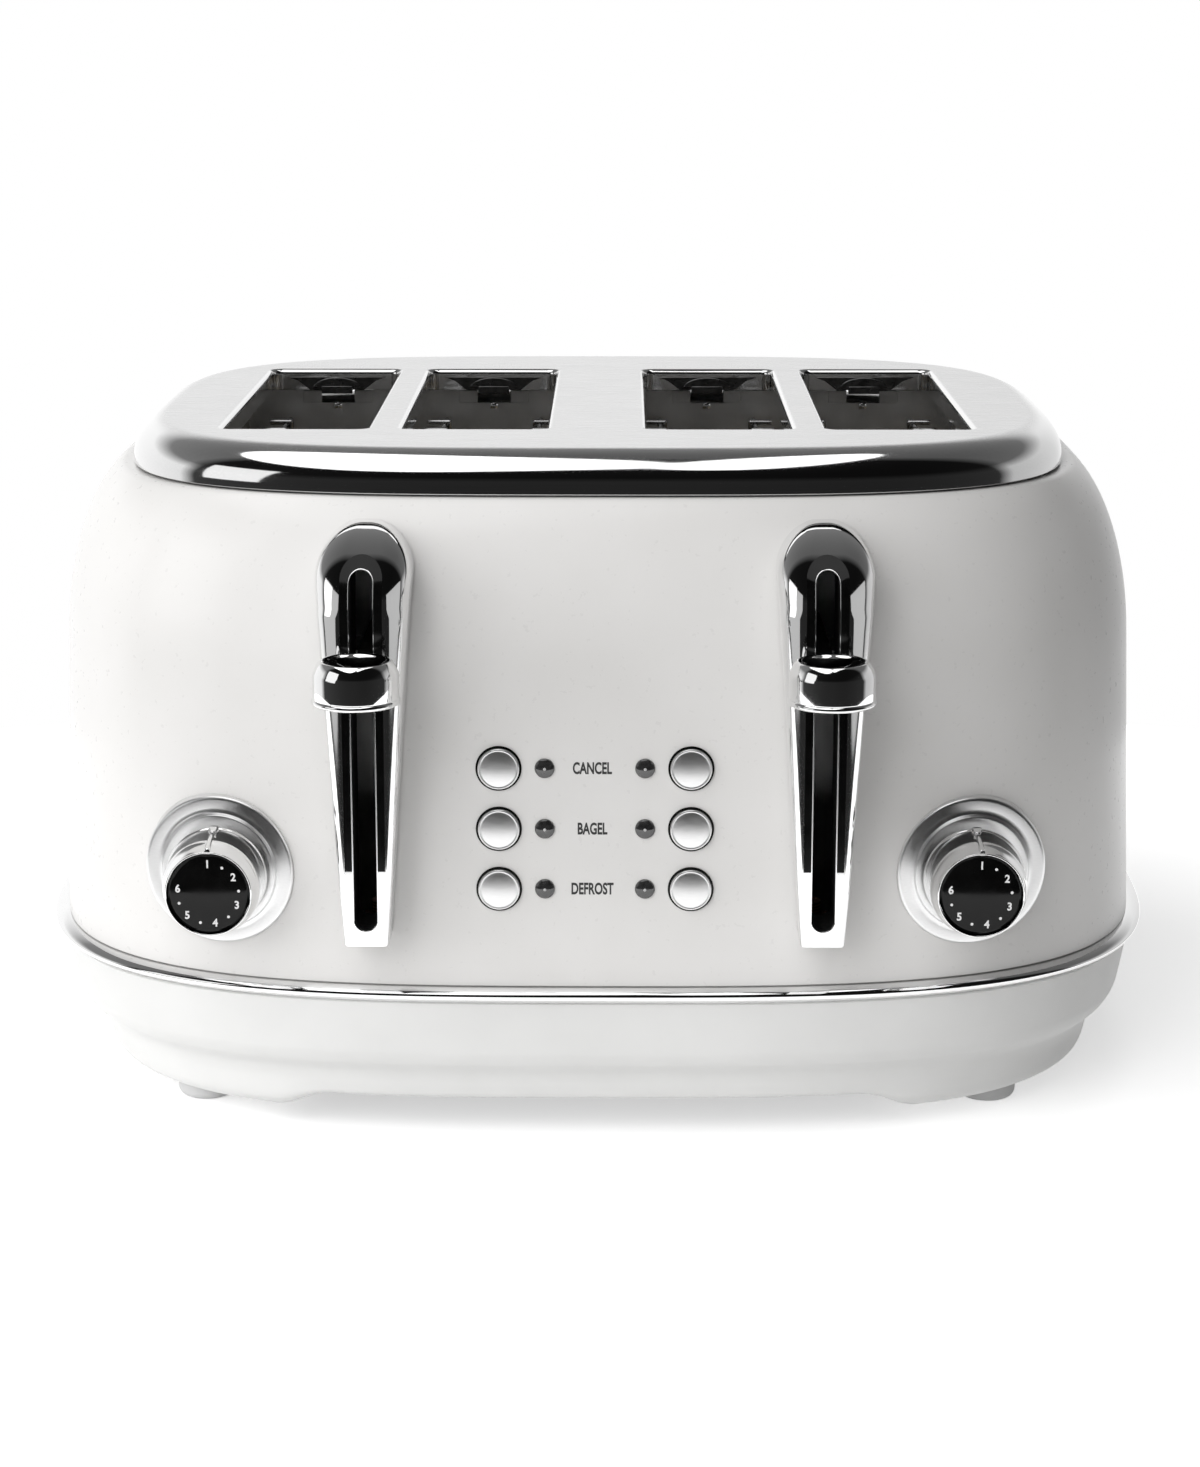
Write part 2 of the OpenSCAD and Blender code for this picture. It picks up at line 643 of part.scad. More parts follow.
// The plinth's outline at the rear, at x, for a tray front that continues it
function rear_y(x, inset) =
    (body_half_d - inset) * pow(1 - pow(abs(x) / (body_half_w - inset), 3.3), 1 / 3.3);

module crumb_tray(s) placed() color("lightgray") {
    in_x = tray_in_x;
    out_x = tray_out_x;
    xs = [for (k = [0 : 10]) in_x + k * (out_x - in_x) / 10];
    translate([0, 0, tray_low_z + 0.2]) linear_extrude(7.6) polygon(concat(
        [for (x = xs) [s * x, rear_y(x, 10.1)]],
        [for (k = [10 : -1 : 0]) [s * xs[k], rear_y(xs[k], 12.9)]]));
    translate([s > 0 ? in_x + 1 : -out_x + 1, -78, tray_low_z])
        cube([out_x - in_x - 2, 78 + rear_y(out_x, 12.9) - 0.5, 1]);
    for (x = [in_x + 1, out_x - 2]) translate([s > 0 ? x : -x - 1, -78, tray_low_z])
        cube([1, 78 + rear_y(out_x, 12.9) - 0.5, 5]);
    translate([s > 0 ? in_x + 1 : -out_x + 1, -78, tray_low_z]) cube([out_x - in_x - 2, 1, 5]);
    translate([s > 0 ? in_x + 1 : -in_x - 31, rear_y(out_x, 12.9) - 1, tray_low_z])
        cube([30, rear_y(in_x + 31, 12.9) - rear_y(out_x, 12.9) + 1.6, 1]);
}
module crumb_tray_left() crumb_tray(-1);
module crumb_tray_right() crumb_tray(1);

body_shell();
top_plate();
trim_ring();
base_plinth();
bottom_cover();
rubber_feet();
cover_screws();
cord_gland();
lever_housing_left();
lever_housing_right();
slot_liners();
lever_knob_left();
lever_knob_right();
lever_arm_left();
lever_arm_right();
carriage_left();
carriage_right();
bread_rack_1();
bread_rack_2();
bread_rack_3();
bread_rack_4();
guide_rods();
return_spring_left();
return_spring_right();
latch_plate_left();
latch_plate_right();
electromagnets();
bread_guide_1a();
bread_guide_1b();
bread_guide_2a();
bread_guide_2b();
bread_guide_3a();
bread_guide_3b();
bread_guide_4a();
bread_guide_4b();
chassis_front();
chassis_rear();
chassis_sides();
heater_cards();
heating_ribbons();
dial_flange_left();
dial_flange_right();
dial_knob_left();
dial_knob_right();
dial_face_left();
dial_face_right();
rotary_controls();
button_cancel_left();
button_bagel_left();
button_defrost_left();
button_cancel_right();
button_bagel_right();
button_defrost_right();
button_bezels();
indicator_lenses();
control_board();
crumb_tray_left();
crumb_tray_right();
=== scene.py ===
"""Pop up toaster: the visible pieces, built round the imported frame.

Lengths in the making code are millimetres about the body's own centre, with z up from the
surface the toaster stands on. spot() turns them into the frame's metres.
"""
from math import atan, copysign, cos, degrees, hypot, pi, radians, sin, sqrt, tan

import bmesh
import bpy
from mathutils import Matrix, Vector


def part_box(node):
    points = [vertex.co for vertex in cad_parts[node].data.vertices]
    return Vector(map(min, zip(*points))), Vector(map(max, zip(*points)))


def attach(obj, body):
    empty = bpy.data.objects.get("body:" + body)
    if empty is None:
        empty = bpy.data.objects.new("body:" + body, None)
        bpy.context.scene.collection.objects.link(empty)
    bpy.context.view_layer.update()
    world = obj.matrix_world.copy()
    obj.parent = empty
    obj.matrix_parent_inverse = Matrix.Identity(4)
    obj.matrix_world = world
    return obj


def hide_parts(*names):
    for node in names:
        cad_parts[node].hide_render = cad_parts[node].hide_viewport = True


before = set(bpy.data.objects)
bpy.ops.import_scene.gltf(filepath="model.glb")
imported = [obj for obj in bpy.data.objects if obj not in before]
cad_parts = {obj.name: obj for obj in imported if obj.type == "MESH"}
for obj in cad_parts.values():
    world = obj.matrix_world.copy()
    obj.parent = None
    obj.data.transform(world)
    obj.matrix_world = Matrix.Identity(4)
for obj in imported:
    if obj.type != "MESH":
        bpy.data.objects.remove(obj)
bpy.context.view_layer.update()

MM = 0.001
SIDES = {"left": -1, "right": 1}


def middle(node):
    low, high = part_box(node)
    return (low + high) / 2


def edge(node, axis, high=True):
    """A CAD node's lowest or highest value along an axis, in millimetres."""
    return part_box(node)[1 if high else 0]["xyz".index(axis)] / MM


BODY_Y = middle("body_shell").y

# ---- Sizes, from the frame where it has them ----
BODY_W = edge("body_shell", "x") + 0.065  # half width at the taper's start
BODY_D = 130.5  # half depth there
BODY_LOW = edge("body_shell", "z", False)
BODY_HIGH = edge("body_shell", "z")
WALL = 1.5
TAPER = 0.043
TAPER_FROM = 46.0
SHOULDER_FROM = 130.0
SHOULDER_H = 48.0
SHOULDER_IN = 20.0
DEPTH_SHARE = 0.91  # how much of the pull-in the depth takes
BODY_ROUND = 3.2  # superellipse power at the taper's start
BODY_ROUND_RISE = 0.3 / 131  # and its growth with height
PLATE_ROUND = 3.5
PLINTH_ROUND = 3.3
RIM_H = 1.2  # the shell's rolled upper rim
SEAT_W = 8.0  # the ledge under the plate

PLATE_TOP = edge("top_plate", "z")
PLATE_LOW = edge("top_plate", "z", False)
PLATE_W = edge("top_plate", "x")
PLATE_D = (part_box("top_plate")[1].y - BODY_Y) / MM
PLATE_EDGE = 10.0  # radius of the rolled outer edge
PLATE_SHEET = 1.2
SLOT_W = 40.0
SLOT_L = 135.0
SLOT_CORNER = 3.0
SLOTS = [middle(f"bread_rack_{i}").x / MM for i in (1, 2, 3, 4)]
LIP_R = 1.6
LIP_LOW = 181.5
CHASSIS_TOP = edge("chassis_rear", "z")
CHASSIS_D = 70.0  # inner face of the chassis end walls
CHASSIS_SHEET = 1.5
NOTCH_LOW = CHASSIS_TOP - 4
RIVET_Z = CHASSIS_TOP - 4.9

LEVER_X = middle("lever_arm_right").x / MM
LEVER_Z = middle("lever_arm_right").z / MM
KNOB_X = middle("lever_knob_right").x / MM
KNOB_Y = (middle("lever_knob_right").y - BODY_Y) / MM
KNOB_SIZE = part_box("lever_knob_right")[1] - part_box("lever_knob_right")[0]
KNOB_R = min(KNOB_SIZE.x, KNOB_SIZE.y) / 2 / MM - 0.01
LEVER_SLOT_W = 6.0
LEVER_SLOT = (67.0, 161.8)
HOUSING_LOW = edge("lever_housing_left", "z", False)
HOUSING_TOP = edge("lever_housing_left", "z")
HOUSING_DOME = 150.0  # height where the front starts to lean back
HOUSING_ROUND = 159.0  # height where the sides start to close
HOUSING_W = 5.8  # half width at the foot
HOUSING_WIDENS = 0.0692
HOUSING_FRONT = 143.5
HOUSING_TOP_FRONT = 115.6
BAND_R = 5.45  # the black band's half width at the top
BAND_NARROWS = 0.2
BAND_LOW = 81.0
BAND_SHEET = 0.22
BAND_GAP = 0.35
BAND_LIFT = 0.9
RIM_WIRE_R = 0.17
SLOT_STEPS = 34  # points down a lever slot's long side

DIAL_X = middle("dial_knob_right").x / MM
DIAL_Z = 77.2
DIAL_BACK = 126.6
DIAL_KNOB_R = 13.4
DIAL_KNOB_L = 18.2
DIAL_FACE_R = 10.8
NUMBERS_R = 8.0  # radius of the ring of numbers
NUMBER_PITCH = 56  # degrees from one number to the next
FLANGE_R = (edge("dial_flange_right", "z") - edge("dial_flange_right", "z", False)) / 2
FLANGE_TILT = radians(12)
FLANGE_FRONT = -121.6
STEP_FRONT = -122.8
STEP_R = 15.4

BUTTON_X = middle("button_cancel_right").x / MM
BUTTON_ROWS = {n: middle(f"button_{n}_right").z / MM for n in ("cancel", "bagel", "defrost")}
BUTTON_R = 5.47
LENS_X = 13.2
LENS_R = 2.6

FINE = 256  # points round a large outline
SHARP = 38  # degrees between faces that keep a crease


# ---- Mesh tools ----

def spot(x, y, z):
    """A place in the frame, from millimetres about the body's centre."""
    return Vector((x * MM, y * MM + BODY_Y, z * MM))


def solid(name, points, faces, outward=True):
    """A mesh object from points in millimetres about the body's centre."""
    mesh = bpy.data.meshes.new(name)
    mesh.from_pydata([spot(*p) for p in points], [], faces)
    mesh.validate()
    if outward:
        bm = bmesh.new()
        bm.from_mesh(mesh)
        bmesh.ops.remove_doubles(bm, verts=bm.verts, dist=1e-7)
        bmesh.ops.recalc_face_normals(bm, faces=bm.faces)
        bm.to_mesh(mesh)
        bm.free()
    obj = bpy.data.objects.new(name, mesh)
    show(obj)
    return obj


def loft(name, rings, looped=False):
    """A closed skin over rings with the same number of points."""
    count = len(rings[0])
    bands = len(rings) if looped else len(rings) - 1
    faces = []
    for j in range(bands):
        low = j * count
        high = (j + 1) % len(rings) * count
        for i in range(count):
            k = (i + 1) % count
            faces.append((low + i, low + k, high + k, high + i))
    if not looped:
        faces.append(tuple(range(count - 1, -1, -1)))
        top = (len(rings) - 1) * count
        faces.append(tuple(top + i for i in range(count)))
    return solid(name, [p for ring in rings for p in ring], faces)


def lathe(name, profile, centre, axis="z", steps=96):
    """A closed profile of (radius, height) pairs turned about an axis through centre.
    Along y, height counts towards the front."""
    rings = []
    for k in range(steps):
        a = 2 * pi * k / steps
        ring = []
        for r, h in profile:
            u, v = r * cos(a), r * sin(a)
            offset = (u, v, h) if axis == "z" else (u, -h, v)
            ring.append(tuple(c + o for c, o in zip(centre, offset)))
        rings.append(ring)
    return loft(name, rings, looped=True)


def arc(cx, cy, r, start, end, steps):
    """Points on a circle of radius r about (cx, cy), from one angle in degrees to another."""
    out = []
    for k in range(steps + 1):
        a = radians(start + (end - start) * k / steps)
        out.append((cx + r * cos(a), cy + r * sin(a)))
    return out


def smoothed(points, per_span):
    """A smooth line through points, with per_span steps between two of them."""
    out = []
    last = len(points) - 1
    for i in range(last):
        p0, p1, p2, p3 = (points[max(0, min(last, i + d))] for d in (-1, 0, 1, 2))
        for k in range(per_span):
            t = k / per_span
            out.append(tuple(
                0.5 * (2 * b + (c - a) * t + (2 * a - 5 * b + 4 * c - d) * t * t
                       + (3 * b - a - 3 * c + d) * t ** 3)
                for a, b, c, d in zip(p0, p1, p2, p3)))
    out.append(points[-1])
    return out


def ease(t):
    t = max(0.0, min(1.0, t))
    return t * t * (3 - 2 * t)


def join(objects):
    """Puts the other objects' meshes into the first one."""
    keep = objects[0]
    bm = bmesh.new()
    for obj in objects:
        bm.from_mesh(obj.data)
    bm.to_mesh(keep.data)
    bm.free()
    for obj in objects[1:]:
        bpy.data.objects.remove(obj)
    return keep


def apply_modifiers(obj):
    shape = obj.evaluated_get(bpy.context.evaluated_depsgraph_get())
    mesh = bpy.data.meshes.new_from_object(shape)
    obj.modifiers.clear()
    obj.data = mesh
    return obj


def cut(obj, cutters, inner=None):
    """Takes cutters out of obj. inner is its own material and that of the new walls."""
    tool = join(cutters)
    if inner:
        obj.data.materials.append(inner[0])
        obj.data.materials.append(inner[1])
        tool.data.materials.append(inner[1])
    mod = obj.modifiers.new("cut", "BOOLEAN")
    mod.operation = "DIFFERENCE"
    mod.solver = "EXACT"
    mod.object = tool
    if inner:
        mod.material_mode = "TRANSFER"
    apply_modifiers(obj)
    bpy.data.objects.remove(tool)
    return obj


def rounded_rect(w, l, r, steps=8):
    """Outline of a rectangle with round corners about the origin, counter-clockwise."""
    out = []
    for cx, cy, a in ((1, 1, 0), (-1, 1, 90), (-1, -1, 180), (1, -1, 270)):
        out += arc(cx * (w / 2 - r), cy * (l / 2 - r), r, a, a + 90, steps)
    return out


def upright_slot(name, x, w, low, high, y0, y1):
    """A solid bar along y whose upright outline has round ends."""
    outline = [(x + u, v + (low + high) / 2) for u, v in rounded_rect(w, high - low, w / 2 - 0.01)]
    return loft(name, [[(u, y, v) for u, v in outline] for y in (y0, y1)])


def pin(name, x, z, r, y0, y1, steps=48):
    """A round bar along y."""
    outline = arc(x, z, r, 0, 360 - 360 / steps, steps - 1)
    return loft(name, [[(u, y, v) for u, v in outline] for y in (y0, y1)])


def show(obj):
    bpy.context.scene.collection.objects.link(obj)


def smooth(obj, angle=SHARP, weighted=False):
    """Smooth shading, with creases where faces meet at more than angle degrees."""
    obj.data.shade_smooth()
    obj.data.set_sharp_from_angle(angle=radians(angle))
    if weighted:
        mod = obj.modifiers.new("normals", "WEIGHTED_NORMAL")
        mod.keep_sharp = True
        mod.weight = 60
    return obj


def soften(obj, width, segments=2, angle=40):
    """Rounds the edges of a boxy piece by width millimetres."""
    mod = obj.modifiers.new("soften", "BEVEL")
    mod.width = width * MM
    mod.segments = segments
    mod.limit_method = "ANGLE"
    mod.angle_limit = radians(angle)
    mod.use_clamp_overlap = True
    mod.harden_normals = False
    return obj


# ---- Materials ----

class Material:
    """A node material with a few short calls for procedural detail."""

    def __init__(self, name, colour, roughness, metallic=0.0, **settings):
        self.material = bpy.data.materials.new(name)
        self.material.use_nodes = True
        self.tree = self.material.node_tree
        self.shader = self.tree.nodes["Principled BSDF"]
        self.set("Base Color", (*colour, 1))
        self.set("Roughness", roughness)
        self.set("Metallic", metallic)
        for key, value in settings.items():
            self.set(key.replace("_", " "), value)
        self.material.diffuse_color = (*colour, 1)

    def set(self, socket, value):
        self.shader.inputs[socket].default_value = value

    def node(self, kind, **inputs):
        made = self.tree.nodes.new("ShaderNode" + kind)
        for key, value in inputs.items():
            made.inputs[key.replace("_", " ")].default_value = value
        return made

    def link(self, a, b):
        self.tree.links.new(a, b)

    def place(self, scale=(1, 1, 1)):
        """Object coordinates in millimetres, stretched by scale."""
        coordinates = self.node("TexCoord")
        mapping = self.node("Mapping", Scale=tuple(s / MM for s in scale))
        self.link(coordinates.outputs["Object"], mapping.inputs["Vector"])
        return mapping.outputs["Vector"]

    def noise(self, scale, stretch=(1, 1, 1), detail=3.0, roughness=0.5):
        """Noise with scale features a millimetre."""
        made = self.node("TexNoise", Scale=scale, Detail=detail, Roughness=roughness)
        self.link(self.place(stretch), made.inputs["Vector"])
        return made.outputs["Fac"]

    def ranged(self, value, low, high, at=(0.3, 0.7)):
        """value turned from the range at to low and high."""
        made = self.node("MapRange", From_Min=at[0], From_Max=at[1], To_Min=low,
                         To_Max=high)
        self.link(value, made.inputs["Value"])
        return made.outputs["Result"]

    def tint(self, value, dark, light, at=(0.3, 0.7)):
        """Base colour that runs from dark to light with value."""
        made = self.node("ValToRGB")
        for element, position, colour in zip(made.color_ramp.elements, at, (dark, light)):
            element.position = position
            element.color = (*colour, 1)
        self.link(value, made.inputs["Fac"])
        self.link(made.outputs["Color"], self.shader.inputs["Base Color"])
        return self

    def rough(self, value, low, high, at=(0.3, 0.7)):
        self.link(self.ranged(value, low, high, at), self.shader.inputs["Roughness"])
        return self

    def bump(self, value, height, strength=1.0):
        """Relief of height millimetres."""
        made = self.node("Bump", Strength=strength, Distance=height * MM)
        self.link(value, made.inputs["Height"])
        self.link(made.outputs["Normal"], self.shader.inputs["Normal"])
        return self


def grey(v):
    return (v, v, v)


def make_paint():
    m = Material("satin_white_paint", (0.80, 0.79, 0.775), 0.3, Coat_Weight=0.35,
                 Coat_Roughness=0.16, Specular_IOR_Level=0.5)
    m.tint(m.noise(0.035, detail=2), (0.785, 0.775, 0.76), (0.81, 0.80, 0.787))
    m.rough(m.noise(0.6), 0.27, 0.34)
    return m.bump(m.noise(1.1, detail=2), 0.002, 0.3).material


def make_satin_steel():
    """Brushed on the flat top, turning to a mirror on the rolled edges."""
    m = Material("brushed_steel_top", (0.72, 0.72, 0.72), 0.25, 1.0)
    grain = m.noise(2.2, stretch=(0.04, 1, 1), detail=4, roughness=0.6)
    m.tint(grain, grey(0.76), grey(0.8))
    geometry = m.node("NewGeometry")
    split = m.node("SeparateXYZ")
    m.link(geometry.outputs["Normal"], split.inputs["Vector"])
    flat = m.ranged(split.outputs["Z"], 0.0, 1.0, (0.86, 0.99))
    brushed = m.ranged(grain, 0.24, 0.32)
    mix = m.node("Mix")
    mix.data_type = "FLOAT"
    mix.inputs["A"].default_value = 0.07
    m.link(flat, mix.inputs["Factor"])
    m.link(brushed, mix.inputs["B"])
    m.link(mix.outputs["Result"], m.shader.inputs["Roughness"])
    return m.bump(grain, 0.001, 0.2).material


def make_dark_steel():
    # Steel with painted shade: nearly black, for pieces that sit in shadow
    m = Material("shade_painted_steel", grey(0.1), 0.3, 1.0)
    m.tint(m.noise(0.4), grey(0.08), grey(0.14))
    return m.rough(m.noise(0.9), 0.26, 0.38).material


def make_chrome():
    m = Material("chrome", grey(0.86), 0.035, 1.0)
    smudge = m.noise(0.05, detail=4, roughness=0.6)
    m.rough(smudge, 0.035, 0.09)
    m.tint(m.noise(0.02), grey(0.83), grey(0.88))
    return m.bump(m.noise(0.2, detail=1), 0.002, 0.12).material


def make_satin_chrome():
    m = Material("satin_chrome", grey(0.74), 0.24, 1.0)
    grain = m.noise(3.0, stretch=(0.12, 1, 1), detail=3)
    m.tint(grain, grey(0.76), grey(0.8))
    m.rough(grain, 0.29, 0.35)
    return m.bump(grain, 0.0006, 0.15).material


def make_gloss_black():
    m = Material("gloss_black", grey(0.003), 0.1, Specular_IOR_Level=0.22)
    m.rough(m.noise(0.12, detail=4), 0.07, 0.15)
    return m.tint(m.noise(0.3), grey(0.002), grey(0.004)).material


def make_soft_black():
    m = Material("soft_black", grey(0.012), 0.5)
    m.rough(m.noise(0.8), 0.42, 0.6)
    m.tint(m.noise(0.4), grey(0.008), grey(0.02))
    return m.bump(m.noise(4.0), 0.02, 0.4).material


def make_moulded(name, low, high, roughness=0.38):
    """Moulded plastic with a faint cloud in its colour and fine grain."""
    m = Material(name, high, roughness, Specular_IOR_Level=0.45)
    m.tint(m.noise(0.05, detail=2), low, high)
    m.rough(m.noise(0.7), roughness - 0.04, roughness + 0.05)
    return m.bump(m.noise(2.2, detail=2), 0.008, 0.35).material


def make_zinc():
    """Galvanised sheet: soft crystals and drawing marks."""
    m = Material("zinc_sheet", grey(0.74), 0.4, 1.0)
    cells = m.node("TexVoronoi", Scale=0.12)
    m.link(m.place(), cells.inputs["Vector"])
    m.tint(cells.outputs["Distance"], grey(0.8), grey(0.68), (0.0, 0.9))
    grain = m.noise(1.2, stretch=(1, 1, 0.06), detail=4)
    m.rough(grain, 0.34, 0.48)
    return m.bump(grain, 0.002, 0.2).material


def make_wire():
    m = Material("drawn_wire", grey(0.6), 0.2, 1.0)
    m.tint(m.noise(0.15, detail=4), grey(0.28), grey(0.5))
    return m.rough(m.noise(0.9), 0.14, 0.3).material


def make_mica():
    m = Material("mica", (0.5, 0.43, 0.33), 0.4, Coat_Weight=0.3, Coat_Roughness=0.25)
    flakes = m.noise(0.18, detail=6, roughness=0.7)
    m.tint(flakes, (0.36, 0.3, 0.22), (0.62, 0.55, 0.44))
    return m.bump(flakes, 0.05, 0.4).material


def make_ribbon():
    m = Material("heater_alloy", (0.36, 0.33, 0.31), 0.36, 1.0)
    m.tint(m.noise(0.12, detail=4), (0.22, 0.18, 0.17), (0.46, 0.43, 0.41))
    return m.rough(m.noise(0.7), 0.3, 0.48).material


def make_copper():
    m = Material("coil_copper", (0.72, 0.36, 0.2), 0.3, 1.0, Coat_Weight=0.6)
    turns = m.node("TexWave", Scale=0.35)
    turns.bands_direction = "Z"
    m.link(m.place(), turns.inputs["Vector"])
    # The colour runs dark in the grooves between turns: painted shade
    m.tint(turns.outputs["Fac"], (0.34, 0.13, 0.06), (0.8, 0.42, 0.24), (0.1, 0.8))
    return m.bump(turns.outputs["Fac"], 0.12, 0.7).material


def make_board():
    m = Material("circuit_board", (0.03, 0.16, 0.08), 0.35, Coat_Weight=0.4)
    tracks = m.node("TexBrick", Scale=0.12)
    m.link(m.place(), tracks.inputs["Vector"])
    m.tint(tracks.outputs["Fac"], (0.02, 0.12, 0.06), (0.06, 0.3, 0.14), (0.2, 0.8))
    return m.material


def make_tray():
    m = Material("tray_aluminium", grey(0.7), 0.32, 1.0)
    grain = m.noise(1.4, stretch=(1, 0.04, 1), detail=4)
    m.tint(grain, grey(0.6), grey(0.74))
    m.rough(grain, 0.26, 0.42)
    return m.bump(grain, 0.006, 0.35).material


def make_lens():
    m = Material("smoked_lens", grey(0.02), 0.1, Coat_Weight=0.8, Coat_Roughness=0.05,
                 Specular_IOR_Level=0.7)
    m.tint(m.noise(0.8, detail=2), grey(0.012), grey(0.035))
    return m.rough(m.noise(0.5), 0.08, 0.16).material


def make_ink(name, shade, roughness=0.5):
    m = Material(name, grey(shade), roughness)
    m.tint(m.noise(2.0), grey(shade * 0.9), grey(min(1, shade * 1.05)))
    return m.rough(m.noise(1.5), roughness - 0.05, roughness + 0.08).material


PAINT = make_paint()
STEEL = make_satin_steel()
SHADE_PAINTED_STEEL = make_dark_steel()
CHROME = make_chrome()
SATIN_CHROME = make_satin_chrome()
GLOSS_BLACK = make_gloss_black()
SOFT_BLACK = make_soft_black()
WHITE_PLASTIC = make_moulded("white_plastic", (0.79, 0.79, 0.78), (0.82, 0.82, 0.81))
GREY_PLASTIC = make_moulded("grey_plastic", grey(0.06), grey(0.085), 0.45)
FOOT_RUBBER = make_moulded("foot_rubber", grey(0.68), grey(0.74), 0.6)
ZINC = make_zinc()
WIRE = make_wire()
MICA = make_mica()
RIBBON = make_ribbon()
COPPER = make_copper()
BOARD = make_board()
TRAY_METAL = make_tray()
LENS = make_lens()
LABEL_INK = make_ink("label_ink", 0.035)
DIAL_INK = make_ink("dial_ink", 0.85)
# Pale grey for the painted highlight on each lens
PAINTED_LENS_GLINT = make_ink("lens_dot", 0.55, 0.3)


def dress(obj, material):
    if not obj.data.materials:
        obj.data.materials.append(material)
    return obj


def fit(obj, body, slot, material, *nodes):
    """The piece is finished: it gets its material, its body and the nodes it stands for."""
    dress(obj, material)
    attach(obj, body)
    if nodes:
        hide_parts(*nodes)
    return obj


# ---- Camera, light and floor ----

def make_camera():
    data = bpy.data.cameras.new("camera")
    data.sensor_width = 36
    data.lens = 77.1
    camera = bpy.data.objects.new("camera", data)
    camera.location = (0.0072, -0.9273 + BODY_Y, 0.3082)
    camera.rotation_euler = (radians(90 - 13.5), 0, radians(0.42))
    show(camera)
    bpy.context.scene.camera = camera


def area_light(name, place, target, size, power, reflected=True, spin=None, shape="RECTANGLE"):
    """A softbox that faces target, or straight down where spin gives its turn in degrees."""
    data = bpy.data.lights.new(name, "AREA")
    data.shape = shape
    data.size, data.size_y = size
    data.energy = power
    light = bpy.data.objects.new(name, data)
    light.location = place
    if spin is None:
        light.rotation_euler = (Vector(target) - Vector(place)).to_track_quat(
            "-Z", "Y").to_euler()
    else:
        light.rotation_euler = (0, 0, radians(spin))
    light.visible_glossy = reflected
    show(light)
    return light


def make_world():
    """White for the camera. For light and reflections: a bright back, a dark front.
    The right side is dark for light and paler in mirrors."""
    world = bpy.data.worlds.new("studio")
    bpy.context.scene.world = world
    world.use_nodes = True
    nodes, links = world.node_tree.nodes, world.node_tree.links
    nodes.clear()

    def node(kind):
        return nodes.new("ShaderNode" + kind)

    def ramp(value, *stops):
        made = node("ValToRGB")
        elements = made.color_ramp.elements
        while len(elements) < len(stops):
            elements.new(0.5)
        for element, (place, shade) in zip(elements, stops):
            element.position = place
            element.color = (shade, shade, shade, 1)
        half = node("Math")
        half.operation = "MULTIPLY_ADD"
        half.inputs[1].default_value = half.inputs[2].default_value = 0.5
        links.new(value, half.inputs[0])
        links.new(half.outputs[0], made.inputs["Fac"])
        return made.outputs["Color"]

    def mix(kind, a, b, factor=None):
        made = node("Mix")
        made.data_type = "RGBA"
        made.blend_type = kind
        made.inputs["Factor"].default_value = 1
        if factor:
            links.new(factor, made.inputs["Factor"])
        links.new(a, made.inputs["A"])
        links.new(b, made.inputs["B"])
        return made.outputs["Result"]

    coordinates = node("TexCoord")
    split = node("SeparateXYZ")
    links.new(coordinates.outputs["Generated"], split.inputs["Vector"])
    depth = ramp(split.outputs["Y"], (0.0, 0.02), (0.46, 0.05), (0.56, 0.95), (0.9, 1.1))
    height = ramp(split.outputs["Z"], (0.0, 1.0), (0.64, 1.0), (0.74, 0.22), (1.0, 0.12))
    lit = ramp(split.outputs["X"], (0.0, 0.75), (0.4, 0.7), (0.58, 0.12), (1.0, 0.0))
    mirrored = ramp(split.outputs["X"], (0.0, 1.0), (0.5, 1.0), (0.75, 0.7), (1.0, 0.6))
    path = node("LightPath")
    side = mix("MIX", lit, mirrored, path.outputs["Is Glossy Ray"])
    around = node("Background")
    links.new(mix("MULTIPLY", mix("MULTIPLY", depth, side), height), around.inputs["Color"])
    seen = node("Background")
    seen.inputs["Color"].default_value = (1, 1, 1, 1)
    either = node("MixShader")
    out = node("OutputWorld")
    links.new(path.outputs["Is Camera Ray"], either.inputs["Fac"])
    links.new(around.outputs["Background"], either.inputs[1])
    links.new(seen.outputs["Background"], either.inputs[2])
    links.new(either.outputs["Shader"], out.inputs["Surface"])


FLOOR = (0.6, 0.42)  # half sizes in metres


def make_floor():
    """A pale oval table that fades into the white around it."""
    steps = 96
    turns = [2 * pi * k / steps for k in range(steps)]
    mesh = bpy.data.meshes.new("floor")
    mesh.from_pydata([(FLOOR[0] * cos(t), FLOOR[1] * sin(t), 0) for t in turns], [],
                     [tuple(range(steps))])
    floor = bpy.data.objects.new("floor", mesh)
    show(floor)
    m = Material("floor", grey(0.86), 0.8, Specular_IOR_Level=0.2)
    coordinates = m.node("TexCoord")
    mapping = m.node("Mapping", Scale=(1 / FLOOR[0], 1 / FLOOR[1], 1))
    length = m.node("VectorMath")
    length.operation = "LENGTH"
    m.link(coordinates.outputs["Object"], mapping.inputs["Vector"])
    m.link(mapping.outputs["Vector"], length.inputs[0])
    fade = m.ranged(length.outputs["Value"], 0.55, 1.0, (0.4, 0.95))
    # The glow is for the eye and for mirrors; it lights the object only faintly
    path = m.node("LightPath")
    spill = m.ranged(path.outputs["Is Diffuse Ray"], 1.0, 0.08)
    glow = m.node("Math")
    glow.operation = "MULTIPLY"
    m.link(fade, glow.inputs[0])
    m.link(spill, glow.inputs[1])
    m.set("Emission Color", (1, 1, 1, 1))
    m.link(glow.outputs[0], m.shader.inputs["Emission Strength"])
    mesh.materials.append(m.material)


